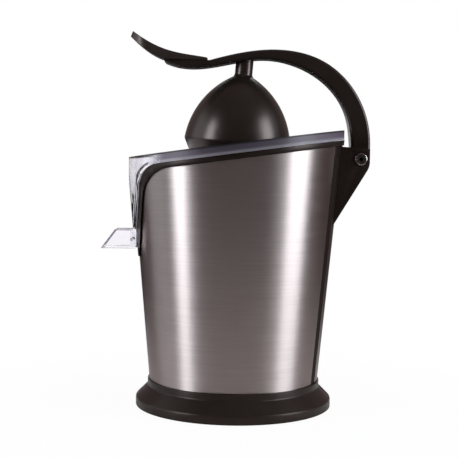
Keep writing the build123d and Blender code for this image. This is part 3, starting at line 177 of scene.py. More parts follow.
floor_paint, paint, place = blank_material("pale_floor_paint")
ray = add(paint, "LightPath", {}).outputs
direct = add(paint, "Math", {
    0: ray["Is Camera Ray"], 1: ray["Is Transmission Ray"]}, operation="MAXIMUM")
reach = add(paint, "VectorMath", {0: place}, operation="LENGTH")
share = add(paint, "MapRange", {
    "Value": reach.outputs["Value"], "From Min": FLOOR_SHADOW_NEAR, "From Max": FLOOR_SHADOW_FAR,
    "To Min": FLOOR_WHITE_SHARE, "To Max": 1.0,
}, interpolation_type="SMOOTHSTEP")
white = add(paint, "Math", {0: direct.outputs[0], 1: share.outputs["Result"]}, operation="MULTIPLY")
# Painted light: the floor's colour fades from pale to dark away from the machine.
painted_fade = add(paint, "MapRange", {
    "Value": reach.outputs["Value"], "From Min": FLOOR_PAINTED_FADE_NEAR, "From Max": FLOOR_PAINTED_FADE_FAR,
}, interpolation_type="SMOOTHSTEP")
tone = add(paint, "Mix", {
    0: painted_fade.outputs["Result"], 6: hex_rgb(FLOOR_PAINTED_LIT), 7: hex_rgb(FLOOR_PAINTED_UNLIT)}, data_type="RGBA")
matt = add(paint, "BsdfDiffuse", {"Color": tone.outputs[2]})
bright = add(paint, "Emission", {"Color": WHITE, "Strength": 1.0})
either = add(paint, "MixShader", {0: white.outputs[0], 1: matt.outputs[0], 2: bright.outputs[0]})
add(paint, "OutputMaterial", {"Surface": either.outputs[0]})

bm = bmesh.new()
bmesh.ops.create_grid(bm, x_segments=4, y_segments=4, size=FLOOR_HALF)
floor_mesh = bpy.data.meshes.new("floor")
bm.to_mesh(floor_mesh)
bm.free()
floor_mesh.materials.append(floor_paint)
floor = bpy.data.objects.new("floor", floor_mesh)
scene.collection.objects.link(floor)
print("floor", 2 * FLOOR_HALF, "m wide")

# %% [markdown]
# ## Soft boxes
# Two tall soft boxes at the sides draw the bright upright bands on the steel. A dim wing
# beside each lets its band fade out instead of ending in a line, and two weak lamps above
# give the black plastic its upper highlights. Each lamp is written by what the steel sees of
# it, its radiance, and its watts follow from that and its size.

# %% Soft boxes
LAMP_TARGET = Vector((0.0, 0.0, 0.14))
SOFT_BOXES = {
    "strip_left": {"round": -63.0, "rise": 8.0, "away": 1.5, "size": (0.40, 1.7), "radiance": 9.1},
    "wing_left": {"round": -98.0, "rise": 8.0, "away": 1.5, "size": (0.8, 1.7), "radiance": 0.9},
    "strip_right": {"round": 71.0, "rise": 8.0, "away": 1.5, "size": (0.66, 1.7), "radiance": 7.4},
    "wing_right": {"round": 50.0, "rise": 8.0, "away": 1.5, "size": (0.36, 1.7), "radiance": 0.5},
    "top_back": {"round": 180.0, "rise": 48.0, "away": 1.8, "size": (1.2, 0.8), "radiance": 1.5},
    "overhead": {"round": 20.0, "rise": 68.0, "away": 1.8, "size": (1.6, 1.6), "radiance": 0.08},
}
WATTS_PER_RADIANCE = 4.0
LAMP_COLOUR = "#E8FCFF"

for name, box in SOFT_BOXES.items():
    lamp = bpy.data.lights.new(name, "AREA")
    lamp.shape = "RECTANGLE"
    lamp.size, lamp.size_y = box["size"]
    lamp.color = hex_rgb(LAMP_COLOUR)[:3]
    lamp.energy = WATTS_PER_RADIANCE * box["radiance"] * lamp.size * lamp.size_y
    bearing, rise = math.radians(box["round"]), math.radians(box["rise"])
    level_way = Vector((math.sin(bearing), -math.cos(bearing), 0))
    outward = level_way * math.cos(rise) + Vector((0, 0, math.sin(rise)))
    soft_box = bpy.data.objects.new(name, lamp)
    soft_box.location = LAMP_TARGET + outward * box["away"]
    soft_box.rotation_euler = outward.to_track_quat("Z", "Y").to_euler()
    soft_box.visible_camera = False
    scene.collection.objects.link(soft_box)
    print(name, round(lamp.energy, 1), "W")

# %% [markdown]
# ## Camera
# The machine is seen from a metre away through a long lens, from the height of the bowl's
# rim and square to the lever. A wider lens nearer by would spread the sides more than the
# photo does.

# %% Camera
CAMERA_PLACE = Vector((0.0, -1.0, 0.225))
CAMERA_TARGET = Vector((-0.0056, 0.0, 0.1589))
CAMERA_ROLL = math.radians(0.8)
CAMERA_LENS = 87.3

camera_data = bpy.data.cameras.new("photo_camera")
camera_data.lens = CAMERA_LENS
camera = bpy.data.objects.new("photo_camera", camera_data)
camera.location = CAMERA_PLACE
aim = (CAMERA_TARGET - CAMERA_PLACE).to_track_quat("-Z", "Y").to_matrix()
camera.rotation_euler = (aim @ Matrix.Rotation(CAMERA_ROLL, 3, "Z")).to_euler()
scene.collection.objects.link(camera)
scene.camera = camera
print("camera", CAMERA_LENS, "mm lens")

# %% [markdown]
# ## Brushed stainless steel
# The body sheet is brushed round and round, so its grooves run level. A mirror steel with a
# picture of scratches would do, but grooves also stretch every reflection across them: that
# is what an anisotropic shader gives, with a tangent that runs round the body and a quarter
# turn. It is what pulls the lamps out to tall soft bands. Real grooves are some 0.1 mm
# apart, too fine for this picture, so they are drawn about a millimetre apart.

# %% Brushed stainless
GROOVE_MM = 0.9
GROOVE_LENGTH_MM = 45.0
GROOVE_RELIEF = 0.05 * MM
GROOVE_STRENGTH = 0.12
GROOVE_GLOSS = (0.34, 0.46)
STEEL_TONES = ("#9C8B8B", "#BEAAAA")
STEEL_STRETCH = 0.88
QUARTER_TURN = 0.25
NOISE_LOW, NOISE_HIGH = 0.3, 0.7

brushed_stainless, tree, place = blank_material("brushed_stainless")
stretched = add(tree, "Mapping", {
    "Vector": place, "Scale": (1000 / GROOVE_LENGTH_MM, 1000 / GROOVE_LENGTH_MM, 1000 / GROOVE_MM)})
grooves = add(tree, "TexNoise", {
    "Vector": stretched.outputs[0], "Scale": 1.0, "Detail": 4.0, "Roughness": 0.65})
tone = add(tree, "Mix", {
    0: grooves.outputs["Fac"], 6: hex_rgb(STEEL_TONES[0]), 7: hex_rgb(STEEL_TONES[1]),
}, data_type="RGBA")
gloss = add(tree, "MapRange", {
    "Value": grooves.outputs["Fac"], "From Min": NOISE_LOW, "From Max": NOISE_HIGH,
    "To Min": GROOVE_GLOSS[0], "To Max": GROOVE_GLOSS[1]})
relief = add(tree, "Bump", {
    "Height": grooves.outputs["Fac"], "Strength": GROOVE_STRENGTH, "Distance": GROOVE_RELIEF})
round_body = add(tree, "VectorMath", {0: (0, 0, 1), 1: place}, operation="CROSS_PRODUCT")
shader = add(tree, "BsdfPrincipled", {
    "Base Color": tone.outputs[2], "Roughness": gloss.outputs["Result"], "Metallic": 1.0,
    "Anisotropic": STEEL_STRETCH, "Anisotropic Rotation": QUARTER_TURN,
    "Tangent": round_body.outputs[0], "Normal": relief.outputs[0]})
add(tree, "OutputMaterial", {"Surface": shader.outputs["BSDF"]})
print(brushed_stainless.name)

# %% [markdown]
# ## Moulded plastics
# ABS, acetal and the soft grip come out of steel moulds whose walls were spark eroded to a
# fine grain. The grain scatters the highlight a little, and the flow of the plastic leaves
# slow drifts of tone and gloss. One function makes them all, from two close colours, a grain
# size and a range of roughness. The real grain is some 0.2 mm, too fine for this picture,
# and is drawn three to five times as coarse.

# %% Moulded plastics
FLOW_MM = 22.0
GRAIN_RELIEF = 0.03 * MM
ABS_IOR = 1.54
WARM_GLINT = hex_rgb("#FFDEDC")


def moulded_plastic(name, dark, light, grain_mm, strength, roughness, constants):
    """A grained plastic between two tones, with what is the same all over it as constants."""
    material, tree, place = blank_material(name)
    flow = add(tree, "TexNoise", {"Vector": place, "Scale": 1000 / FLOW_MM, "Detail": 3.0})
    grain = add(tree, "TexNoise", {"Vector": place, "Scale": 1000 / grain_mm, "Detail": 2.0})
    tone = add(tree, "Mix", {
        0: flow.outputs["Fac"], 6: hex_rgb(dark), 7: hex_rgb(light)}, data_type="RGBA")
    gloss = add(tree, "MapRange", {
        "Value": flow.outputs["Fac"], "From Min": NOISE_LOW, "From Max": NOISE_HIGH,
        "To Min": roughness[0], "To Max": roughness[1]})
    relief = add(tree, "Bump", {
        "Height": grain.outputs["Fac"], "Strength": strength, "Distance": GRAIN_RELIEF})
    shader = add(tree, "BsdfPrincipled", {
        "Base Color": tone.outputs[2], "Roughness": gloss.outputs["Result"],
        "Normal": relief.outputs[0], **constants})
    add(tree, "OutputMaterial", {"Surface": shader.outputs["BSDF"]})
    return material


# Arm, dome, stem and bracket: near black, with soft warm highlights along their curves.
satin_black_abs = moulded_plastic(
    "satin_black_abs", "#1C1512", "#241C19", grain_mm=0.9, strength=0.10, roughness=(0.27, 0.33),
    constants={"IOR": ABS_IOR, "Specular Tint": WARM_GLINT})
# Base and trim: the same black with less shine, so that low angles don't turn it grey.
dull_black_abs = moulded_plastic(
    "dull_black_abs", "#1E1613", "#261D1A", grain_mm=0.9, strength=0.10, roughness=(0.30, 0.38),
    constants={"IOR": ABS_IOR, "Specular IOR Level": 0.22, "Specular Tint": WARM_GLINT})
# The spine behind the rear seams, deep in their shade: a black stripe without a highlight.
seam_black_abs = moulded_plastic(
    "seam_black_abs", "#1E1613", "#261D1A", grain_mm=0.9, strength=0.10, roughness=(0.50, 0.60),
    constants={"IOR": ABS_IOR, "Specular IOR Level": 0.03})
# The grip's soft overmould: a shade greyer, with a broad sheen.
soft_black_grip = moulded_plastic(
    "soft_black_grip", "#28201D", "#322825", grain_mm=0.7, strength=0.16, roughness=(0.34, 0.42),
    constants={"IOR": 1.5, "Specular Tint": WARM_GLINT})
# The reamer, polished so that fruit slides: the shiniest of the blacks.
reamer_abs = moulded_plastic(
    "reamer_black_abs", "#1A1817", "#24211F", grain_mm=0.9, strength=0.08, roughness=(0.24, 0.30),
    constants={"IOR": ABS_IOR})
# Inner frame and gearbox: plain grey, with a coarse matt grain.
frame_abs = moulded_plastic(
    "grey_frame_abs", "#3A3A3C", "#46464A", grain_mm=1.1, strength=0.25, roughness=(0.45, 0.58),
    constants={"IOR": ABS_IOR})
# Gears and washers in uncoloured acetal: milky and slightly waxy.
white_acetal = moulded_plastic(
    "natural_acetal", "#E6E2D6", "#F1EEE5", grain_mm=0.8, strength=0.10, roughness=(0.30, 0.40),
    constants={"IOR": 1.48})
# The start switch: dark red, as switch bodies often are.
switch_abs = moulded_plastic(
    "oxblood_switch_abs", "#4A1C1A", "#5C2421", grain_mm=0.8, strength=0.15, roughness=(0.38, 0.46),
    constants={"IOR": ABS_IOR})
print("eight moulded plastics")

# %% [markdown]
# ## Clear SAN
# The bowl and spout are clear styrene plastic, moulded bright. Glass would be the quick
# stand-in, but plastic has flow lines that make the wall waver slightly. SAN's own index is
# 1.57. The thin walls are drawn with a lower one, because on a white ground little more than
# their edges shows.

# %% Clear SAN
FLOW_LINE_MM = 14.0
FLOW_LINE_RELIEF = 0.5 * MM
FLOW_LINE_STRENGTH = 0.02
CLEAR_GLOSS = (0.01, 0.04)
THIN_WALL_IOR = 1.3


def clear_plastic(name, dark, light):
    """Clear SAN between two tones."""
    material, tree, place = blank_material(name)
    flow = add(tree, "TexNoise", {"Vector": place, "Scale": 1000 / FLOW_LINE_MM, "Detail": 1.0})
    gloss = add(tree, "MapRange", {
        "Value": flow.outputs["Fac"], "To Min": CLEAR_GLOSS[0], "To Max": CLEAR_GLOSS[1]})
    relief = add(tree, "Bump", {
        "Height": flow.outputs["Fac"], "Strength": FLOW_LINE_STRENGTH, "Distance": FLOW_LINE_RELIEF})
    tone = add(tree, "Mix", {
        0: flow.outputs["Fac"], 6: hex_rgb(dark), 7: hex_rgb(light)}, data_type="RGBA")
    shader = add(tree, "BsdfPrincipled", {
        "Base Color": tone.outputs[2], "Roughness": gloss.outputs["Result"], "IOR": THIN_WALL_IOR,
        "Transmission Weight": 1.0, "Normal": relief.outputs[0]})
    add(tree, "OutputMaterial", {"Surface": shader.outputs["BSDF"]})
    return material


# The spout's walls: hardly there.
clear_san = clear_plastic("clear_san_thin", "#FBFAFD", "#FEFDFF")
# Its rims: a thin smoky line, painted shade for the dark line that shows along the wall's ends.
clear_san_painted_rim_shade = clear_plastic("clear_san_painted_rim_shade", "#8F8896", "#A29BA9")
# The bowl, thicker than the spout: a trace of tint.
clear_san_bowl = clear_plastic("clear_san_bowl", "#F2F0F7", "#F8F7FB")
print("clear plastic, thin and thick")

# %% [markdown]
# ## The bowl's rim
# The bowl's thick upper rim gathers light along itself and shows the dark trim and interior through it.
# Its colour is painted to match: pale violet at its foot, darkening upwards to a smoky violet as
# painted shade, a little milky where the thin walls look clear, with a painted dark line along its top
# edge. It could be a piece of its own, but it is moulded in one with the bowl. So the bowl's material
# finds it by the height above the rim's slanted foot, and leaves it clear at the open front.

# %% Bowl rim
RIM_SLOPE = math.radians(7.85)
RIM_FOOT = 226.9 * MM
RIM_TOP = 235.3 * MM
RIM_LINE = 1.6 * MM
RIM_BLEND = 1.2 * MM
RIM_SHADE_DEPTH = 3.5 * MM
RIM_START = (-76 * MM, -58 * MM)
RIM_PAINTED_SHADE_TONES = ("#EADFEA", "#8A7C8C")
RIM_PAINTED_LINE_TONE = "#4A4248"
RIM_ROUGHNESS = 0.38
RIM_GLINT = 0.1
RIM_CLEAR = 0.8

tree = clear_san_bowl.node_tree
shader = tree.nodes["Principled BSDF"]
place = tree.nodes["Texture Coordinate"].outputs["Object"]
clear_tone = shader.inputs["Base Color"].links[0].from_socket
clear_gloss = shader.inputs["Roughness"].links[0].from_socket
slant = (-math.tan(RIM_SLOPE), 0, 1)
height = add(tree, "VectorMath", {0: place, 1: slant}, operation="DOT_PRODUCT").outputs["Value"]
front = add(tree, "SeparateXYZ", {"Vector": place}).outputs["X"]
# Masks for the rim, its more deeply shaded upper part, its painted dark top line, and the part behind
# the open front.
above, deeper_shade, painted_line_mask, behind_front = (
    add(tree, "MapRange", {
        "Value": measure, "From Min": low, "From Max": high,
    }, interpolation_type="SMOOTHSTEP").outputs["Result"]
    for measure, low, high in (
        (height, RIM_FOOT - RIM_BLEND, RIM_FOOT),
        (height, RIM_FOOT + RIM_BLEND, RIM_FOOT + RIM_SHADE_DEPTH),
        (height, RIM_TOP - RIM_LINE, RIM_TOP - RIM_LINE / 2),
        (front, *RIM_START)))
in_rim = add(tree, "Math", {0: above, 1: behind_front}, operation="MULTIPLY").outputs[0]
# Painted shade: the rim's colour darkens to violet upwards, and a dark line is painted along its top
# edge.
painted_violet_shade = add(tree, "Mix", {
    0: deeper_shade, 6: hex_rgb(RIM_PAINTED_SHADE_TONES[0]), 7: hex_rgb(RIM_PAINTED_SHADE_TONES[1])}, data_type="RGBA")
rim_with_painted_shade = add(tree, "Mix", {0: in_rim, 6: clear_tone, 7: painted_violet_shade.outputs[2]}, data_type="RGBA")
rim_with_painted_line = add(tree, "Mix", {
    0: painted_line_mask, 6: rim_with_painted_shade.outputs[2], 7: hex_rgb(RIM_PAINTED_LINE_TONE)}, data_type="RGBA")
soft = add(tree, "MapRange", {"Value": in_rim, "To Min": clear_gloss, "To Max": RIM_ROUGHNESS})
milky = add(tree, "MapRange", {"Value": in_rim, "To Min": 1.0, "To Max": RIM_CLEAR})
tree.links.new(rim_with_painted_line.outputs[2], shader.inputs["Base Color"])
tree.links.new(soft.outputs["Result"], shader.inputs["Roughness"])
tree.links.new(milky.outputs["Result"], shader.inputs["Transmission Weight"])
shader.inputs["Specular IOR Level"].default_value = RIM_GLINT
print("rim from", round(RIM_FOOT / MM, 1), "to", round(RIM_TOP / MM, 1), "mm up, at the reamer's axis")

# %% [markdown]
# ## Bare metals
# Pins, screws and shafts are turned bright steel, bushes are sintered bronze and the strainer
# is pressed stainless. All are metals with a small pattern, so they share one function: two
# tones, a grit or scratch size along each axis, and a range of roughness. On the real parts
# these marks are some 0.1 mm, and they are drawn three times as coarse or more.

# %% Bare metals
def bare_metal(name, dark, light, grit_mm, strength, roughness):
    """A metal between two tones, with its tool marks."""
    material, tree, place = blank_material(name)
    scaled = add(tree, "Mapping", {
        "Vector": place, "Scale": tuple(1000 / size for size in grit_mm)})
    grit = add(tree, "TexNoise", {"Vector": scaled.outputs[0], "Scale": 1.0, "Detail": 3.0})
    tone = add(tree, "Mix", {
        0: grit.outputs["Fac"], 6: hex_rgb(dark), 7: hex_rgb(light)}, data_type="RGBA")
    gloss = add(tree, "MapRange", {
        "Value": grit.outputs["Fac"], "From Min": NOISE_LOW, "From Max": NOISE_HIGH,
        "To Min": roughness[0], "To Max": roughness[1]})
    relief = add(tree, "Bump", {
        "Height": grit.outputs["Fac"], "Strength": strength, "Distance": GRAIN_RELIEF})
    shader = add(tree, "BsdfPrincipled", {
        "Base Color": tone.outputs[2], "Roughness": gloss.outputs["Result"], "Metallic": 1.0,
        "Normal": relief.outputs[0]})
    add(tree, "OutputMaterial", {"Surface": shader.outputs["BSDF"]})
    return material


# Turned steel: bright, with small glints.
turned_steel = bare_metal(
    "turned_steel", "#AFA5A3", "#D1C6C4", grit_mm=(0.4, 0.4, 0.4), strength=0.10,
    roughness=(0.20, 0.32))
# Oil-blackened steel, on the hinge pin: dark, but a metal's sharp glint.
blackened_steel = bare_metal(
    "blackened_steel", "#6E6764", "#8A827E", grit_mm=(0.4, 0.4, 0.4), strength=0.10,
    roughness=(0.22, 0.34))
# Pressed sheet: smooth, with level lines from the rolling.
pressed_stainless = bare_metal(
    "pressed_stainless", "#BAAFAD", "#D8CDCB", grit_mm=(6.0, 6.0, 0.8), strength=0.06,
    roughness=(0.18, 0.30))
# Sintered bronze: brown gold, pitted and matt.
sintered_bronze = bare_metal(
    "sintered_bronze", "#8A6638", "#B98F55", grit_mm=(0.3, 0.3, 0.3), strength=0.30,
    roughness=(0.38, 0.55))
print("four bare metals")

# %% [markdown]
# ## Motor core and windings
# The motor's core is a stack of stamped sheets and its coils are rows of varnished wire. Both
# show as even stripes, which a wave texture draws. The sheets are 0.5 mm thick and the wire
# 0.4 mm; both are drawn some twelve times as coarse so that the stripes show at all.

# %% Striped metals
LAMINATION_MM = 6.283
WIRE_MM = 5.027
STRIPE_STRENGTH = 0.5
STRIPE_WAVER = 0.3
WAVE_BANDS = 10 / math.pi


def striped_metal(name, dark, light, stripe_mm, axis, roughness):
    """A metal with even stripes along an axis. At a scale of 1 a metre holds WAVE_BANDS of them."""
    material, tree, place = blank_material(name)
    stripes = add(tree, "TexWave", {
        "Vector": place, "Scale": 1000 / (stripe_mm * WAVE_BANDS), "Distortion": STRIPE_WAVER,
    }, bands_direction=axis)
    tone = add(tree, "Mix", {
        0: stripes.outputs["Fac"], 6: hex_rgb(dark), 7: hex_rgb(light)}, data_type="RGBA")
    relief = add(tree, "Bump", {
        "Height": stripes.outputs["Fac"], "Strength": STRIPE_STRENGTH, "Distance": GRAIN_RELIEF})
    shader = add(tree, "BsdfPrincipled", {
        "Base Color": tone.outputs[2], "Roughness": roughness, "Metallic": 1.0,
        "Normal": relief.outputs[0]})
    add(tree, "OutputMaterial", {"Surface": shader.outputs["BSDF"]})
    return material


# Stacked sheet: grey with dark joints.
core_laminations = striped_metal(
    "core_laminations", "#4A4A4C", "#77777A", LAMINATION_MM, axis="Z", roughness=0.45)
# Varnished wire: red brown rows with a glassy shine.
varnished_copper = striped_metal(
    "varnished_copper", "#7A3A1C", "#C46A38", WIRE_MM, axis="X", roughness=0.32)
print("two striped metals")

# %% [markdown]
# ## Rubber
# The foot ring, the seals and the cord gland are moulded rubber: nearly black, matt, and dusty
# enough that it has no highlight to speak of.

# %% Rubber
matt_rubber = moulded_plastic(
    "matt_rubber", "#1B1B1B", "#2A2A2A", grain_mm=0.6, strength=0.5, roughness=(0.72, 0.86),
    constants={"IOR": 1.52})
print(matt_rubber.name)

# %% [markdown]
# ## Pieces of our own
# Moulded and turned parts have no knife edges: every corner is rounded by some tenths of a millimetre,
# and those roundings carry the thin highlights that make a part look real. A Bevel modifier on the CAD
# mesh would round it too, but its triangles give uneven corners. So the outer pieces are modelled
# again. Each stands for the CAD piece of its name, takes its finish and moves with its body.

# %% Fitting a piece
SHARP_ANGLE = math.radians(40)
MERGE_GAP = 0.004 * MM


def fit_piece(bm, name, finish):
    """Makes a mesh the piece that stands for the CAD piece of that name."""
    bmesh.ops.remove_doubles(bm, verts=bm.verts, dist=MERGE_GAP)
    bmesh.ops.recalc_face_normals(bm, faces=bm.faces)
    mesh = bpy.data.meshes.new(name + "_moulded")
    bm.to_mesh(mesh)
    bm.free()
    mesh.shade_smooth()
    mesh.set_sharp_from_angle(angle=SHARP_ANGLE)
    mesh.materials.append(finish)
    piece = bpy.data.objects.new(mesh.name, mesh)
    scene.collection.objects.link(piece)
    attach(piece, nodes[name]["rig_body"])
    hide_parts(name)
    print(piece.name, len(mesh.polygons), "faces")
    return piece


# %% [markdown]
# ## Turned sections
# Most of this machine is round, so most pieces start as half a cross section: a chain of
# corners given by radius and height. Chosen corners are rounded while the section is
# still a line, which keeps the rounding exact, and a full spin makes the solid.

# %% Section helpers
TURN_STEPS = 128
CORNER_STEPS = 4
ARC_STEPS = 20


def corner(bm, radius, height):
    """A corner of a half section, in mm."""
    return bm.verts.new((radius * MM, 0, height * MM))


def join(bm, *chain):
    """Edges from each corner to the next."""
    for start, end in zip(chain, chain[1:]):
        bm.edges.new((start, end))


def round_off(bm, radius, *corners):
    """Rounds corners of a section that is still a line."""
    bmesh.ops.bevel(bm, geom=corners, offset=radius * MM, affect="VERTICES",
                    segments=CORNER_STEPS, profile=0.5, material=-1)


def arc_through(bm, start, middle, end):
    """Sweeps the corner start round to end, through middle, and gives the last corner."""
    first = start.co.xz
    to_middle, to_end = (Vector(point) * MM - first for point in (middle, end))
    across = (to_middle.orthogonal() * to_end.length_squared
              - to_end.orthogonal() * to_middle.length_squared)
    centre = first + across / (2 * to_middle.cross(to_end))
    angle = (first - centre).angle_signed(first + to_end - centre)
    swept = bmesh.ops.spin(bm, geom=[start], cent=(centre.x, 0, centre.y), axis=(0, 1, 0),
                           angle=angle, steps=ARC_STEPS)
    return swept["geom_last"][0]


def turn(bm, steps=TURN_STEPS, section=None):
    """Spins a section, or all that is there, once round the upright axis."""
    bmesh.ops.spin(bm, geom=section or bm.verts[:] + bm.edges[:], cent=(0, 0, 0), axis=(0, 0, 1),
                   angle=2 * math.pi, steps=steps, use_merge=True)


print("sections are turned in", TURN_STEPS, "steps")

# %% [markdown]
# ## Base ring
# The black foot of the machine flares out below the steel to keep it from tipping. It is one
# moulding with a thin wall, so the section has the wall's inside too. The edge between flare
# and foot band is rounded most, because that is where the lamps draw a line along it. The
# hole for the cord gland is a boolean cut that is baked into the finished ring.

# %% Base ring
BASE_OUTSIDE = ((88.0, 0.5), (88.0, 8.0), (77.4, 18.5), (77.4, 24.5))
BASE_INSIDE = ((76.2, 24.5), (75.8, 20.0), (71.1, 20.0), (71.1, 16.5), (84.5, 6.25), (84.5, 0.5))
BASE_EDGE_ROUND = 0.9
BASE_NECK_ROUND = 0.8
BASE_LIP_ROUND = 0.45

bm = bmesh.new()
outside = [corner(bm, *spot) for spot in BASE_OUTSIDE]
inside = [corner(bm, *spot) for spot in BASE_INSIDE]
join(bm, *outside, *inside, outside[0])
round_off(bm, BASE_EDGE_ROUND, outside[1])
round_off(bm, BASE_NECK_ROUND, outside[2])
round_off(bm, BASE_LIP_ROUND, outside[0], outside[3])
turn(bm)
base_ring = fit_piece(bm, "base_ring", dull_black_abs)

# %% Cord hole
DRILL_SIDES = 48
GLAND_HOLE_RADIUS = 5.6
GLAND_HOLE_LENGTH = 30.0
GLAND_HOLE_MIDDLE = 82.0
GLAND_HEIGHT = 12.5


def drill_hole(piece, radius, length, centre, axis):
    """Cuts a round hole through a fitted piece and bakes it into the mesh."""
    bm = bmesh.new()
    bmesh.ops.create_cone(bm, cap_ends=True, segments=DRILL_SIDES, radius1=radius * MM,
                          radius2=radius * MM, depth=length * MM)
    turned = Vector((0, 0, 1)).rotation_difference(Vector(axis)).to_matrix().to_4x4()
    bmesh.ops.transform(bm, matrix=Matrix.Translation(Vector(centre) * MM) @ turned, verts=bm.verts)
    drill_mesh = bpy.data.meshes.new("drill")
    bm.to_mesh(drill_mesh)
    bm.free()
    drill = bpy.data.objects.new("drill", drill_mesh)
    scene.collection.objects.link(drill)
    cut = piece.modifiers.new("hole", "BOOLEAN")
    cut.object, cut.solver = drill, "EXACT"
    drilled = piece.evaluated_get(bpy.context.evaluated_depsgraph_get())
    piece.data = bpy.data.meshes.new_from_object(drilled)
    piece.data.set_sharp_from_angle(angle=SHARP_ANGLE)
    piece.modifiers.clear()
    bpy.data.objects.remove(drill)
    print(piece.name, "drilled,", len(piece.data.polygons), "faces")


drill_hole(base_ring, GLAND_HOLE_RADIUS, GLAND_HOLE_LENGTH,
           centre=(GLAND_HOLE_MIDDLE, 0, GLAND_HEIGHT), axis=(1, 0, 0))

# %% [markdown]
# ## Lever pieces and their rest pose
# Dome, stem and grip are upright when the lever is pressed. At rest the lever stands a few
# degrees higher, so these pieces are modelled upright and then turned about the hinge.

# %% Rest pose
REST_RAISE = math.radians(4.5)

hinge = next(joint for joint in frame["joints"] if joint["name"] == "lever_hinge")
pin = Vector(hinge["pos_m"])
raised = Matrix.Translation(pin) @ Matrix.Rotation(REST_RAISE, 4, "Y") @ Matrix.Translation(-pin)
print("hinge at", [round(value / MM, 1) for value in pin], "mm")

# %% [markdown]
# ## Press dome
# The cup that holds the fruit half is a hollow dome with a narrow band at its widest and a
# skirt that tapers in below. A sphere would be too round: the real one is taller, so its
# side is one wide arc from the band to a small flat crown.

# %% Press dome
DOME_EQUATOR = 229.7
DOME_RADIUS = 47.5
DOME_SHOULDER = (33.4, 265.5)
DOME_CROWN = (8.2, 287.1)
DOME_BAND = 1.5
DOME_SKIRT = (41.3, 215.7)
DOME_WALL = 2.5
DOME_INNER_SHOULDER = (31.4, 264.0)
DOME_INNER_CROWN = (7.2, DOME_CROWN[1] - DOME_WALL)
DOME_EDGE_ROUND = 1.0

bm = bmesh.new()
skirt = corner(bm, *DOME_SKIRT)
band = corner(bm, DOME_RADIUS, DOME_EQUATOR - DOME_BAND)
side = corner(bm, DOME_RADIUS, DOME_EQUATOR)
crown = arc_through(bm, side, DOME_SHOULDER, DOME_CROWN)
peak = corner(bm, 0, DOME_CROWN[1])
ceiling = corner(bm, 0, DOME_INNER_CROWN[1])
inner_side = corner(bm, DOME_RADIUS - DOME_WALL, DOME_EQUATOR)
inner_crown = arc_through(bm, inner_side, DOME_INNER_SHOULDER, DOME_INNER_CROWN)
inner_skirt = corner(bm, DOME_SKIRT[0] - DOME_WALL, DOME_SKIRT[1])
join(bm, skirt, band, side)
join(bm, crown, peak)
join(bm, ceiling, inner_crown)
join(bm, inner_side, inner_skirt, skirt)
round_off(bm, DOME_EDGE_ROUND, skirt, inner_skirt, crown)
round_off(bm, DOME_BAND / 2, band)
turn(bm)
bmesh.ops.transform(bm, matrix=raised, verts=bm.verts)
fit_piece(bm, "press_dome", satin_black_abs)

# %% [markdown]
# ## Press stem
# A short post carries the dome. Its foot spreads in a small fillet, as any moulded post does
# where it would otherwise crack, and its upper end goes into the arm's socket.

# %% Press stem
STEM_RADIUS = 7.85
STEM_TOP = 304.6
STEM_TOP_ROUND = 0.45
STEM_SUNK = 0.9
STEM_FLARE = 1.9
STEM_FLARE_MIDDLE = 0.45
STEM_FLARE_RISE = 3.4
STEM_STEPS = 64

bm = bmesh.new()
stem_foot = DOME_CROWN[1] - STEM_SUNK
foot_centre = corner(bm, 0, stem_foot)
foot = corner(bm, STEM_RADIUS + STEM_FLARE, stem_foot)
waist = arc_through(bm, foot, (STEM_RADIUS + STEM_FLARE_MIDDLE, stem_foot + STEM_FLARE_RISE / 2),
                    (STEM_RADIUS, stem_foot + STEM_FLARE_RISE))
top = corner(bm, STEM_RADIUS, STEM_TOP)
top_centre = corner(bm, 0, STEM_TOP)
join(bm, foot_centre, foot)
join(bm, waist, top, top_centre)
round_off(bm, STEM_TOP_ROUND, top)
turn(bm, STEM_STEPS)
bmesh.ops.transform(bm, matrix=raised, verts=bm.verts)
fit_piece(bm, "press_stem", satin_black_abs)

# %% [markdown]
# ## Hinge pin and cap
# The lever turns on a steel pin whose head shows on the side: a rounded disc with a turned
# groove and a hexagonal socket for the key that tightens it. The section is turned upright
# and laid over along the hinge. A hexagon is bridged to the round face to open the socket.
# Wherever a face slopes, the head takes bright turned steel instead of the blackened one: a painted
# highlight ring round its edges.

# %% Hinge pin and cap
PIN_SHANK = 4.0
PIN_HEAD = 5.4
PIN_HEAD_THICK = 1.6
PIN_HEAD_ROUND = 0.9
PIN_FACE = 3.2
PIN_GROOVE = ((4.5, 0.0), (4.25, -0.45), (3.8, -0.45), (3.55, 0.0))
PIN_KEY = 1.8
PIN_KEY_DEPTH = 0.5
PIN_STEPS = 48
CHEEK_OUTSIDE = 19.5
RING_HIGHLIGHT_SLOPE = 0.97


def only(kind, parts):
    """The corners or the edges among the parts that an operator gives back."""
    return [part for part in parts if isinstance(part, kind)]


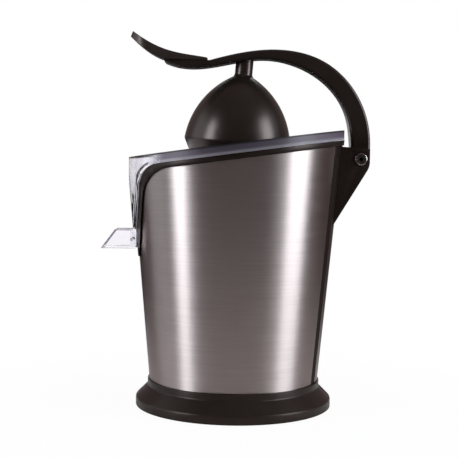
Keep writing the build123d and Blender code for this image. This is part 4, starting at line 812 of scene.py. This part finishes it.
def pin_end(shank):
    """A pin's head, outer face down at height 0, on a shank of that length."""
    bm = bmesh.new()
    face = corner(bm, PIN_FACE, 0)
    groove = [corner(bm, radius, -depth) for radius, depth in reversed(PIN_GROOVE)]
    edge = corner(bm, PIN_HEAD, 0)
    shoulder = corner(bm, PIN_HEAD, PIN_HEAD_THICK)
    neck = corner(bm, PIN_SHANK if shank else 0, PIN_HEAD_THICK)
    join(bm, face, *groove, edge, shoulder, neck)
    if shank:
        tail = corner(bm, PIN_SHANK, PIN_HEAD_THICK + shank)
        tail_centre = corner(bm, 0, PIN_HEAD_THICK + shank)
        join(bm, neck, tail, tail_centre)
    round_off(bm, PIN_HEAD_ROUND, edge)
    turn(bm, PIN_STEPS)
    bmesh.ops.remove_doubles(bm, verts=bm.verts, dist=MERGE_GAP)
    rim = [side for side in bm.edges if side.is_boundary]
    key = bmesh.ops.create_circle(bm, segments=6, radius=PIN_KEY * MM)["verts"]
    key_edges = list({side for vertex in key for side in vertex.link_edges})
    bmesh.ops.bridge_loops(bm, edges=rim + key_edges)
    sunk = bmesh.ops.extrude_edge_only(bm, edges=key_edges)["geom"]
    key_floor = only(bmesh.types.BMVert, sunk)
    bmesh.ops.translate(bm, verts=key_floor, vec=(0, 0, PIN_KEY_DEPTH * MM))
    bmesh.ops.contextual_create(bm, geom=[
        side for side in only(bmesh.types.BMEdge, sunk) if all(end in key_floor for end in side.verts)])
    bmesh.ops.recalc_face_normals(bm, faces=bm.faces)
    for facet in bm.faces:
        # Sloping faces take the second, bright material: a painted highlight ring.
        facet.material_index = int(abs(facet.normal.z) < RING_HIGHLIGHT_SLOPE)
    return bm


head_place = Vector((pin.x, -(CHEEK_OUTSIDE + PIN_HEAD_THICK) * MM, pin.z))
laid = Matrix.Translation(head_place) @ Matrix.Rotation(-math.pi / 2, 4, "X")
bm = pin_end(2 * CHEEK_OUTSIDE)
bmesh.ops.transform(bm, matrix=laid, verts=bm.verts)
hinge_pin = fit_piece(bm, "hinge_pin", blackened_steel)

bm = pin_end(0)
bmesh.ops.transform(bm, matrix=laid, verts=bm.verts)
bmesh.ops.scale(bm, vec=(1, -1, 1), verts=bm.verts)
pin_cap = fit_piece(bm, "pin_cap", blackened_steel)
# The bright turned steel on sloping faces is a painted highlight.
for piece in (hinge_pin, pin_cap):
    piece.data.materials.append(turned_steel)

# %% [markdown]
# ## Cord gland
# The rubber bush round the cord's hole ends flush with the flare, a little sunk. It could be
# sliced by the plane of the flare, but then its end would have to be closed again. So it is
# turned as a plain closed sleeve, laid along the hole, and its outer end is pushed back onto
# the slope.

# %% Cord gland
GLAND_RADIUS = 5.5
GLAND_BORE = 3.2
GLAND_BACK = 74.2
GLAND_LENGTH = 16.0
GLAND_ROUND = 0.5
GLAND_SUNK = 0.8
GLAND_STEPS = 48

bm = bmesh.new()
sleeve = [corner(bm, *spot) for spot in (
    (GLAND_RADIUS, 0), (GLAND_RADIUS, GLAND_LENGTH), (GLAND_BORE, GLAND_LENGTH), (GLAND_BORE, 0))]
join(bm, *sleeve, sleeve[0])
round_off(bm, GLAND_ROUND, sleeve[0], sleeve[3])
turn(bm, GLAND_STEPS)
in_hole = Matrix.Translation((GLAND_BACK * MM, 0, GLAND_HEIGHT * MM))
bmesh.ops.transform(bm, matrix=in_hole @ Matrix.Rotation(math.pi / 2, 4, "Y"), verts=bm.verts)
band_edge, neck_edge = (Vector((radius, 0, height)) * MM for radius, height in BASE_OUTSIDE[1:3])
flare_out = (band_edge - neck_edge).cross(Vector((0, 1, 0))).normalized()
flush = band_edge - flare_out * GLAND_SUNK * MM
for vertex in bm.verts:
    on_flare = flush.x - (vertex.co.z - flush.z) * flare_out.z / flare_out.x
    vertex.co.x = min(vertex.co.x, on_flare, band_edge.x - GLAND_SUNK * MM)
fit_piece(bm, "cord_gland", matt_rubber)

# %% [markdown]
# ## Lever grip
# The paddle under the hand is a curved plate with a round front. It could be lofted from
# cross sections. Here its plan is drawn flat, cut across into narrow strips so that it can
# bend, raised to a plate, and its two faces are then lifted onto the curves of the side view.

# %% Grip plan
GRIP_HALF_WIDTH = 17.0
GRIP_TAIL = (-33.2, 12.5)
GRIP_FRONT = -103.3
GRIP_STRIP = 4.0
GRIP_BOW_STEPS = 24
GRIP_BEND = -71.3


def cut_at(bm, place, normal, clear=False):
    """Cuts all faces along a plane, clears what lies beyond it if asked, and gives the cut."""
    return bmesh.ops.bisect_plane(bm, geom=bm.verts[:] + bm.edges[:] + bm.faces[:], plane_co=place,
                                  plane_no=normal, clear_outer=clear)["geom_cut"]


bow_centre = GRIP_FRONT + GRIP_HALF_WIDTH
bm = bmesh.new()
tail = [bm.verts.new((GRIP_TAIL[0] * MM, side * GRIP_TAIL[1] * MM, 0)) for side in (-1, 1)]
bow_start = bm.verts.new((bow_centre * MM, -GRIP_HALF_WIDTH * MM, 0))
bow = bmesh.ops.spin(bm, geom=[bow_start], cent=(bow_centre * MM, 0, 0), axis=(0, 0, 1),
                     angle=-math.pi, steps=GRIP_BOW_STEPS)["geom_last"][0]
join(bm, bow, tail[1], tail[0], bow_start)
bmesh.ops.contextual_create(bm, geom=bm.edges[:])
for strip in (*np.arange(GRIP_FRONT + GRIP_STRIP / 2, GRIP_TAIL[0], GRIP_STRIP), GRIP_BEND):
    cut_at(bm, (strip * MM, 0, 0), (1, 0, 0))
print("grip plan in", len(bm.faces), "strips")

# %% Grip curves
GRIP_SEAT = ((-33.2, 74.6), (GRIP_BEND, 72.2))
GRIP_LOWER = ((GRIP_BEND, 72.2), (-80.0, 75.0), (-91.2, 80.9), (-103.3, 89.9))
GRIP_UPPER = ((-33.2, 76.7), (-48.0, 77.7), (-66.7, 79.7), (-88.0, 86.8), (-101.8, 94.9))
GRIP_FRONT_LEAN = 1.5
GRIP_EDGE_ANGLE = math.radians(50)
GRIP_EDGE_ROUND = 1.2
GRIP_EDGE_STEPS = 3


def soften_edges(bm, radius, steps, angle):
    """Rounds every edge of a solid that bends by more than an angle."""
    sharp = [side for side in bm.edges if side.is_manifold and side.calc_face_angle() > angle]
    bmesh.ops.bevel(bm, geom=sharp, offset=radius * MM, affect="EDGES", segments=steps,
                    profile=0.5, material=-1, clamp_overlap=True)


seat_line = np.polyfit(*zip(*GRIP_SEAT), 1)
lower_curve = np.polyfit(*zip(*GRIP_LOWER), 3)
upper_curve = np.polyfit(*zip(*GRIP_UPPER), 4)
lower_side = bm.verts[:]
plate = bmesh.ops.extrude_face_region(bm, geom=bm.faces[:], use_keep_orig=True)["geom"]
for vertex in lower_side:
    along = vertex.co.x / MM
    curve = seat_line if along > GRIP_BEND else lower_curve
    vertex.co.z = pin.z + np.polyval(curve, along) * MM
for vertex in only(bmesh.types.BMVert, plate):
    if vertex.co.x < bow_centre * MM:
        ahead = bow_centre - vertex.co.x / MM
        vertex.co.x = (bow_centre - ahead * (1 - GRIP_FRONT_LEAN / GRIP_HALF_WIDTH)) * MM
    vertex.co.z = pin.z + np.polyval(upper_curve, vertex.co.x / MM) * MM
bmesh.ops.recalc_face_normals(bm, faces=bm.faces)
soften_edges(bm, GRIP_EDGE_ROUND, GRIP_EDGE_STEPS, GRIP_EDGE_ANGLE)
bmesh.ops.transform(bm, matrix=raised, verts=bm.verts)
fit_piece(bm, "lever_grip", soft_black_grip)

# %% [markdown]
# ## Reamer cone
# Under the dome the fruit half is pressed on a ribbed cone. Its ribs could be separate bars
# stuck on, but moulded ribs swell out of the cone: so the cone is turned plain, with many
# steps, and its skin is pushed outwards in ten soft waves that fade at the tip and the foot.
# The hollow inside and the hub for the shaft are a second turned section below it.

# %% Reamer cone
CONE_FOOT = (31.0, 205.0)
CONE_FLANK = (20.3, 235.3)
CONE_TIP = (2.5, 262.0)
CONE_TIP_ROUND = 1.4
CONE_SKIRT = 200.0
CONE_HOLLOW = ((28.4, 200.0), (28.4, 204.0), (8.5, 244.0), (8.5, 189.5), (5.15, 189.5),
               (5.15, 241.0), (0, 241.0))
CONE_STEPS = 240
RIBS = 10
RIB_PROUD = 1.9
RIB_CREST = 1.5
RIB_FADE = 7.0
RIB_END = 259.0

bm = bmesh.new()
foot = corner(bm, *CONE_FOOT)
tip = arc_through(bm, foot, CONE_FLANK, CONE_TIP)
tip_centre = corner(bm, 0, CONE_TIP[1])
skirt = corner(bm, CONE_FOOT[0], CONE_SKIRT)
join(bm, skirt, foot)
join(bm, tip, tip_centre)
round_off(bm, CONE_TIP_ROUND, tip)
turn(bm, CONE_STEPS)
for vertex in bm.verts:
    radius, height = vertex.co.xy.length, vertex.co.z / MM
    fade = min(height - CONE_FOOT[1], RIB_END - height) / RIB_FADE
    wave = max(0.0, math.cos(RIBS * math.atan2(vertex.co.y, vertex.co.x)))
    swell = wave * min(1.0, max(0.0, fade))
    if swell > 0:
        vertex.co.xy *= 1 + RIB_PROUD * MM * swell ** RIB_CREST / radius
skin = set(bm.verts)
hollow = [corner(bm, *spot) for spot in ((CONE_FOOT[0], CONE_SKIRT), *CONE_HOLLOW)]
join(bm, *hollow)
inner_edges = [side for side in bm.edges if not skin.intersection(side.verts)]
turn(bm, CONE_STEPS, hollow + inner_edges)
fit_piece(bm, "reamer_cone", reamer_abs)

# %% [markdown]
# ## Return spring
# A coil under the reamer's shaft lifts it again after each press. It is hidden in the gearbox, but it
# has to shorten when the cone goes down. A spin that climbs as it turns winds the wire, and the coil
# gets a mesh of its own.

# %% Return spring
COIL_RADIUS = 7.2
COIL_WIRE = 0.6
COIL_WIRE_SIDES = 12
COIL_LOW, COIL_HIGH = 92.9, 100.6
COIL_TURNS = 3
COIL_TURN_STEPS = 40

bm = bmesh.new()
wire = bmesh.ops.create_circle(bm, segments=COIL_WIRE_SIDES, radius=COIL_WIRE * MM)["verts"]
bmesh.ops.rotate(bm, verts=wire, matrix=Matrix.Rotation(math.pi / 2, 3, "X"))
bmesh.ops.translate(bm, verts=wire, vec=(COIL_RADIUS * MM, 0, COIL_LOW * MM))
coil_steps = COIL_TURNS * COIL_TURN_STEPS
bmesh.ops.spin(bm, geom=bm.verts[:] + bm.edges[:], cent=(0, 0, 0), axis=(0, 0, 1),
               dvec=(0, 0, (COIL_HIGH - COIL_LOW) * MM / coil_steps), angle=2 * math.pi * COIL_TURNS,
               steps=coil_steps)
bmesh.ops.holes_fill(bm, edges=bm.edges[:])
coil = fit_piece(bm, "return_spring", turned_steel)
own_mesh(coil)

# %% [markdown]
# ## Juice spout
# The spout is a clear trough with a slanted end that tips up to stop the last drops. Its channel
# section is drawn once, rounded, pulled out past its full length, and then sliced at both ends. Rims
# are what shows of clear plastic on a white ground: so the outermost strip along the end and the top
# gets a darker, smoky tone, painted shade for the dark line seen along those rims, and every edge is
# rounded finely.

# %% Spout channel
SPOUT_ROOT = -89.01
SPOUT_PULL = 33.0
SPOUT_CHANNEL = ((-11, 158), (-11, 140.6), (11, 140.6), (11, 158),
                 (9, 158), (9, 142.6), (-9, 142.6), (-9, 158))
SPOUT_FOOT_ROUND = 2.4
SPOUT_CHANNEL_ROUND = 0.9
SPOUT_END = ((-120.31, 140.6), (-107.51, 158.0))
SPOUT_HEEL = ((-93.53, 158.0), (-89.01, 149.0))

bm = bmesh.new()
channel = [bm.verts.new((SPOUT_ROOT * MM, y * MM, z * MM)) for y, z in SPOUT_CHANNEL]
join(bm, *channel, channel[0])
round_off(bm, SPOUT_FOOT_ROUND, channel[1], channel[2])
round_off(bm, SPOUT_CHANNEL_ROUND, channel[5], channel[6])
bmesh.ops.contextual_create(bm, geom=bm.edges[:])
pulled = bmesh.ops.extrude_face_region(bm, geom=bm.faces[:], use_keep_orig=True)["geom"]
bmesh.ops.translate(bm, vec=(-SPOUT_PULL * MM, 0, 0), verts=only(bmesh.types.BMVert, pulled))
for side_line in (SPOUT_END, SPOUT_HEEL):
    start, end = (Vector((x, 0, z)) * MM for x, z in side_line)
    cut = cut_at(bm, start, (end - start).cross(Vector((0, 1, 0))), clear=True)
    bmesh.ops.holes_fill(bm, edges=only(bmesh.types.BMEdge, cut))
bmesh.ops.recalc_face_normals(bm, faces=bm.faces)
print("spout channel,", len(bm.faces), "faces")

# %% Spout rims
SPOUT_PAINTED_RIM = 0.9
SPOUT_EDGE_ROUND = 0.3
SPOUT_PIVOT = (-92.41, 0, 149.0)
SPOUT_PIN_HOLE = 1.55
SPOUT_PIN_LENGTH = 40.0
FINE_STEPS = 2

end_low, end_high = (Vector((x, 0, z)) * MM for x, z in SPOUT_END)
end_out = (end_high - end_low).cross(Vector((0, 1, 0))).normalized()
# The outer strip along the end and the top takes the darker material: painted shade.
for on_rim, outward in ((end_low, end_out), (end_high, Vector((0, 0, 1)))):
    inner = on_rim - outward * SPOUT_PAINTED_RIM * MM
    cut_at(bm, inner, outward)
    for face in bm.faces:
        if (face.calc_center_median() - inner).dot(outward) > 0:
            face.material_index = 1
soften_edges(bm, SPOUT_EDGE_ROUND, FINE_STEPS, SHARP_ANGLE)
spout = fit_piece(bm, "juice_spout", clear_san)
# The second material is the painted rim shade.
spout.data.materials.append(clear_san_painted_rim_shade)
drill_hole(spout, SPOUT_PIN_HOLE, SPOUT_PIN_LENGTH, centre=SPOUT_PIVOT, axis=(0, 1, 0))

# %% [markdown]
# ## Softened pieces
# Rim trim and hinge bracket have odd cut shapes that the CAD model already gives
# exactly. Modelling them again would only copy it, so their meshes are copied, merged, and
# their sharp edges rounded by some tenths of a millimetre.

# %% Softened pieces
FLAT_ANGLE = math.radians(0.5)
SOFTENED = {
    "rim_trim": (0.5, dull_black_abs),
    "hinge_bracket": (0.8, satin_black_abs),
}

for name, (edge_round, finish) in SOFTENED.items():
    bm = bmesh.new()
    bm.from_mesh(nodes[name].data)
    bmesh.ops.remove_doubles(bm, verts=bm.verts, dist=MERGE_GAP)
    bmesh.ops.dissolve_limit(bm, angle_limit=FLAT_ANGLE, verts=bm.verts, edges=bm.edges)
    soften_edges(bm, edge_round, FINE_STEPS, SHARP_ANGLE)
    fit_piece(bm, name, finish)

# %% [markdown]
# ## Finishes on the CAD pieces
# Pieces whose CAD shape is right keep it, and only swap their plain colour for a finish.

# %% CAD finishes
FINISHES = {
    brushed_stainless: ["steel_shell", "rear_panel"],
    satin_black_abs: ["lever_arm"],
    seam_black_abs: ["rear_spine"],
    clear_san_bowl: ["juice_bowl"],
    pressed_stainless: ["strainer"],
    matt_rubber: ["foot_ring", "outlet_seal", "shaft_seal"],
    frame_abs: ["bottom_plate", "inner_frame", "gearbox_case", "gearbox_cover"],
    turned_steel: ["bottom_screws", "bracket_screws", "grip_screws", "dome_screw", "drive_shaft",
                   "thrust_plate", "idler_pin", "gearbox_screws", "motor_shaft", "motor_screws",
                   "motor_spacers"],
    sintered_bronze: ["shaft_bushes", "motor_bearings", "arm_bush"],
    white_acetal: ["output_gear", "idler_gear", "motor_pinion", "cooling_fan", "friction_washers",
                   "spout_pins"],
    switch_abs: ["start_switch", "switch_plunger"],
    core_laminations: ["motor_stator", "motor_rotor", "motor_bracket"],
    varnished_copper: ["motor_windings"],
}

for finish, names in FINISHES.items():
    for name in names:
        nodes[name].data.materials.clear()
        nodes[name].data.materials.append(finish)
shown = {name for name, node in nodes.items() if not node.hide_render}
finished = {name for names in FINISHES.values() for name in names}
print("without a finish:", sorted(shown - finished) or "none")
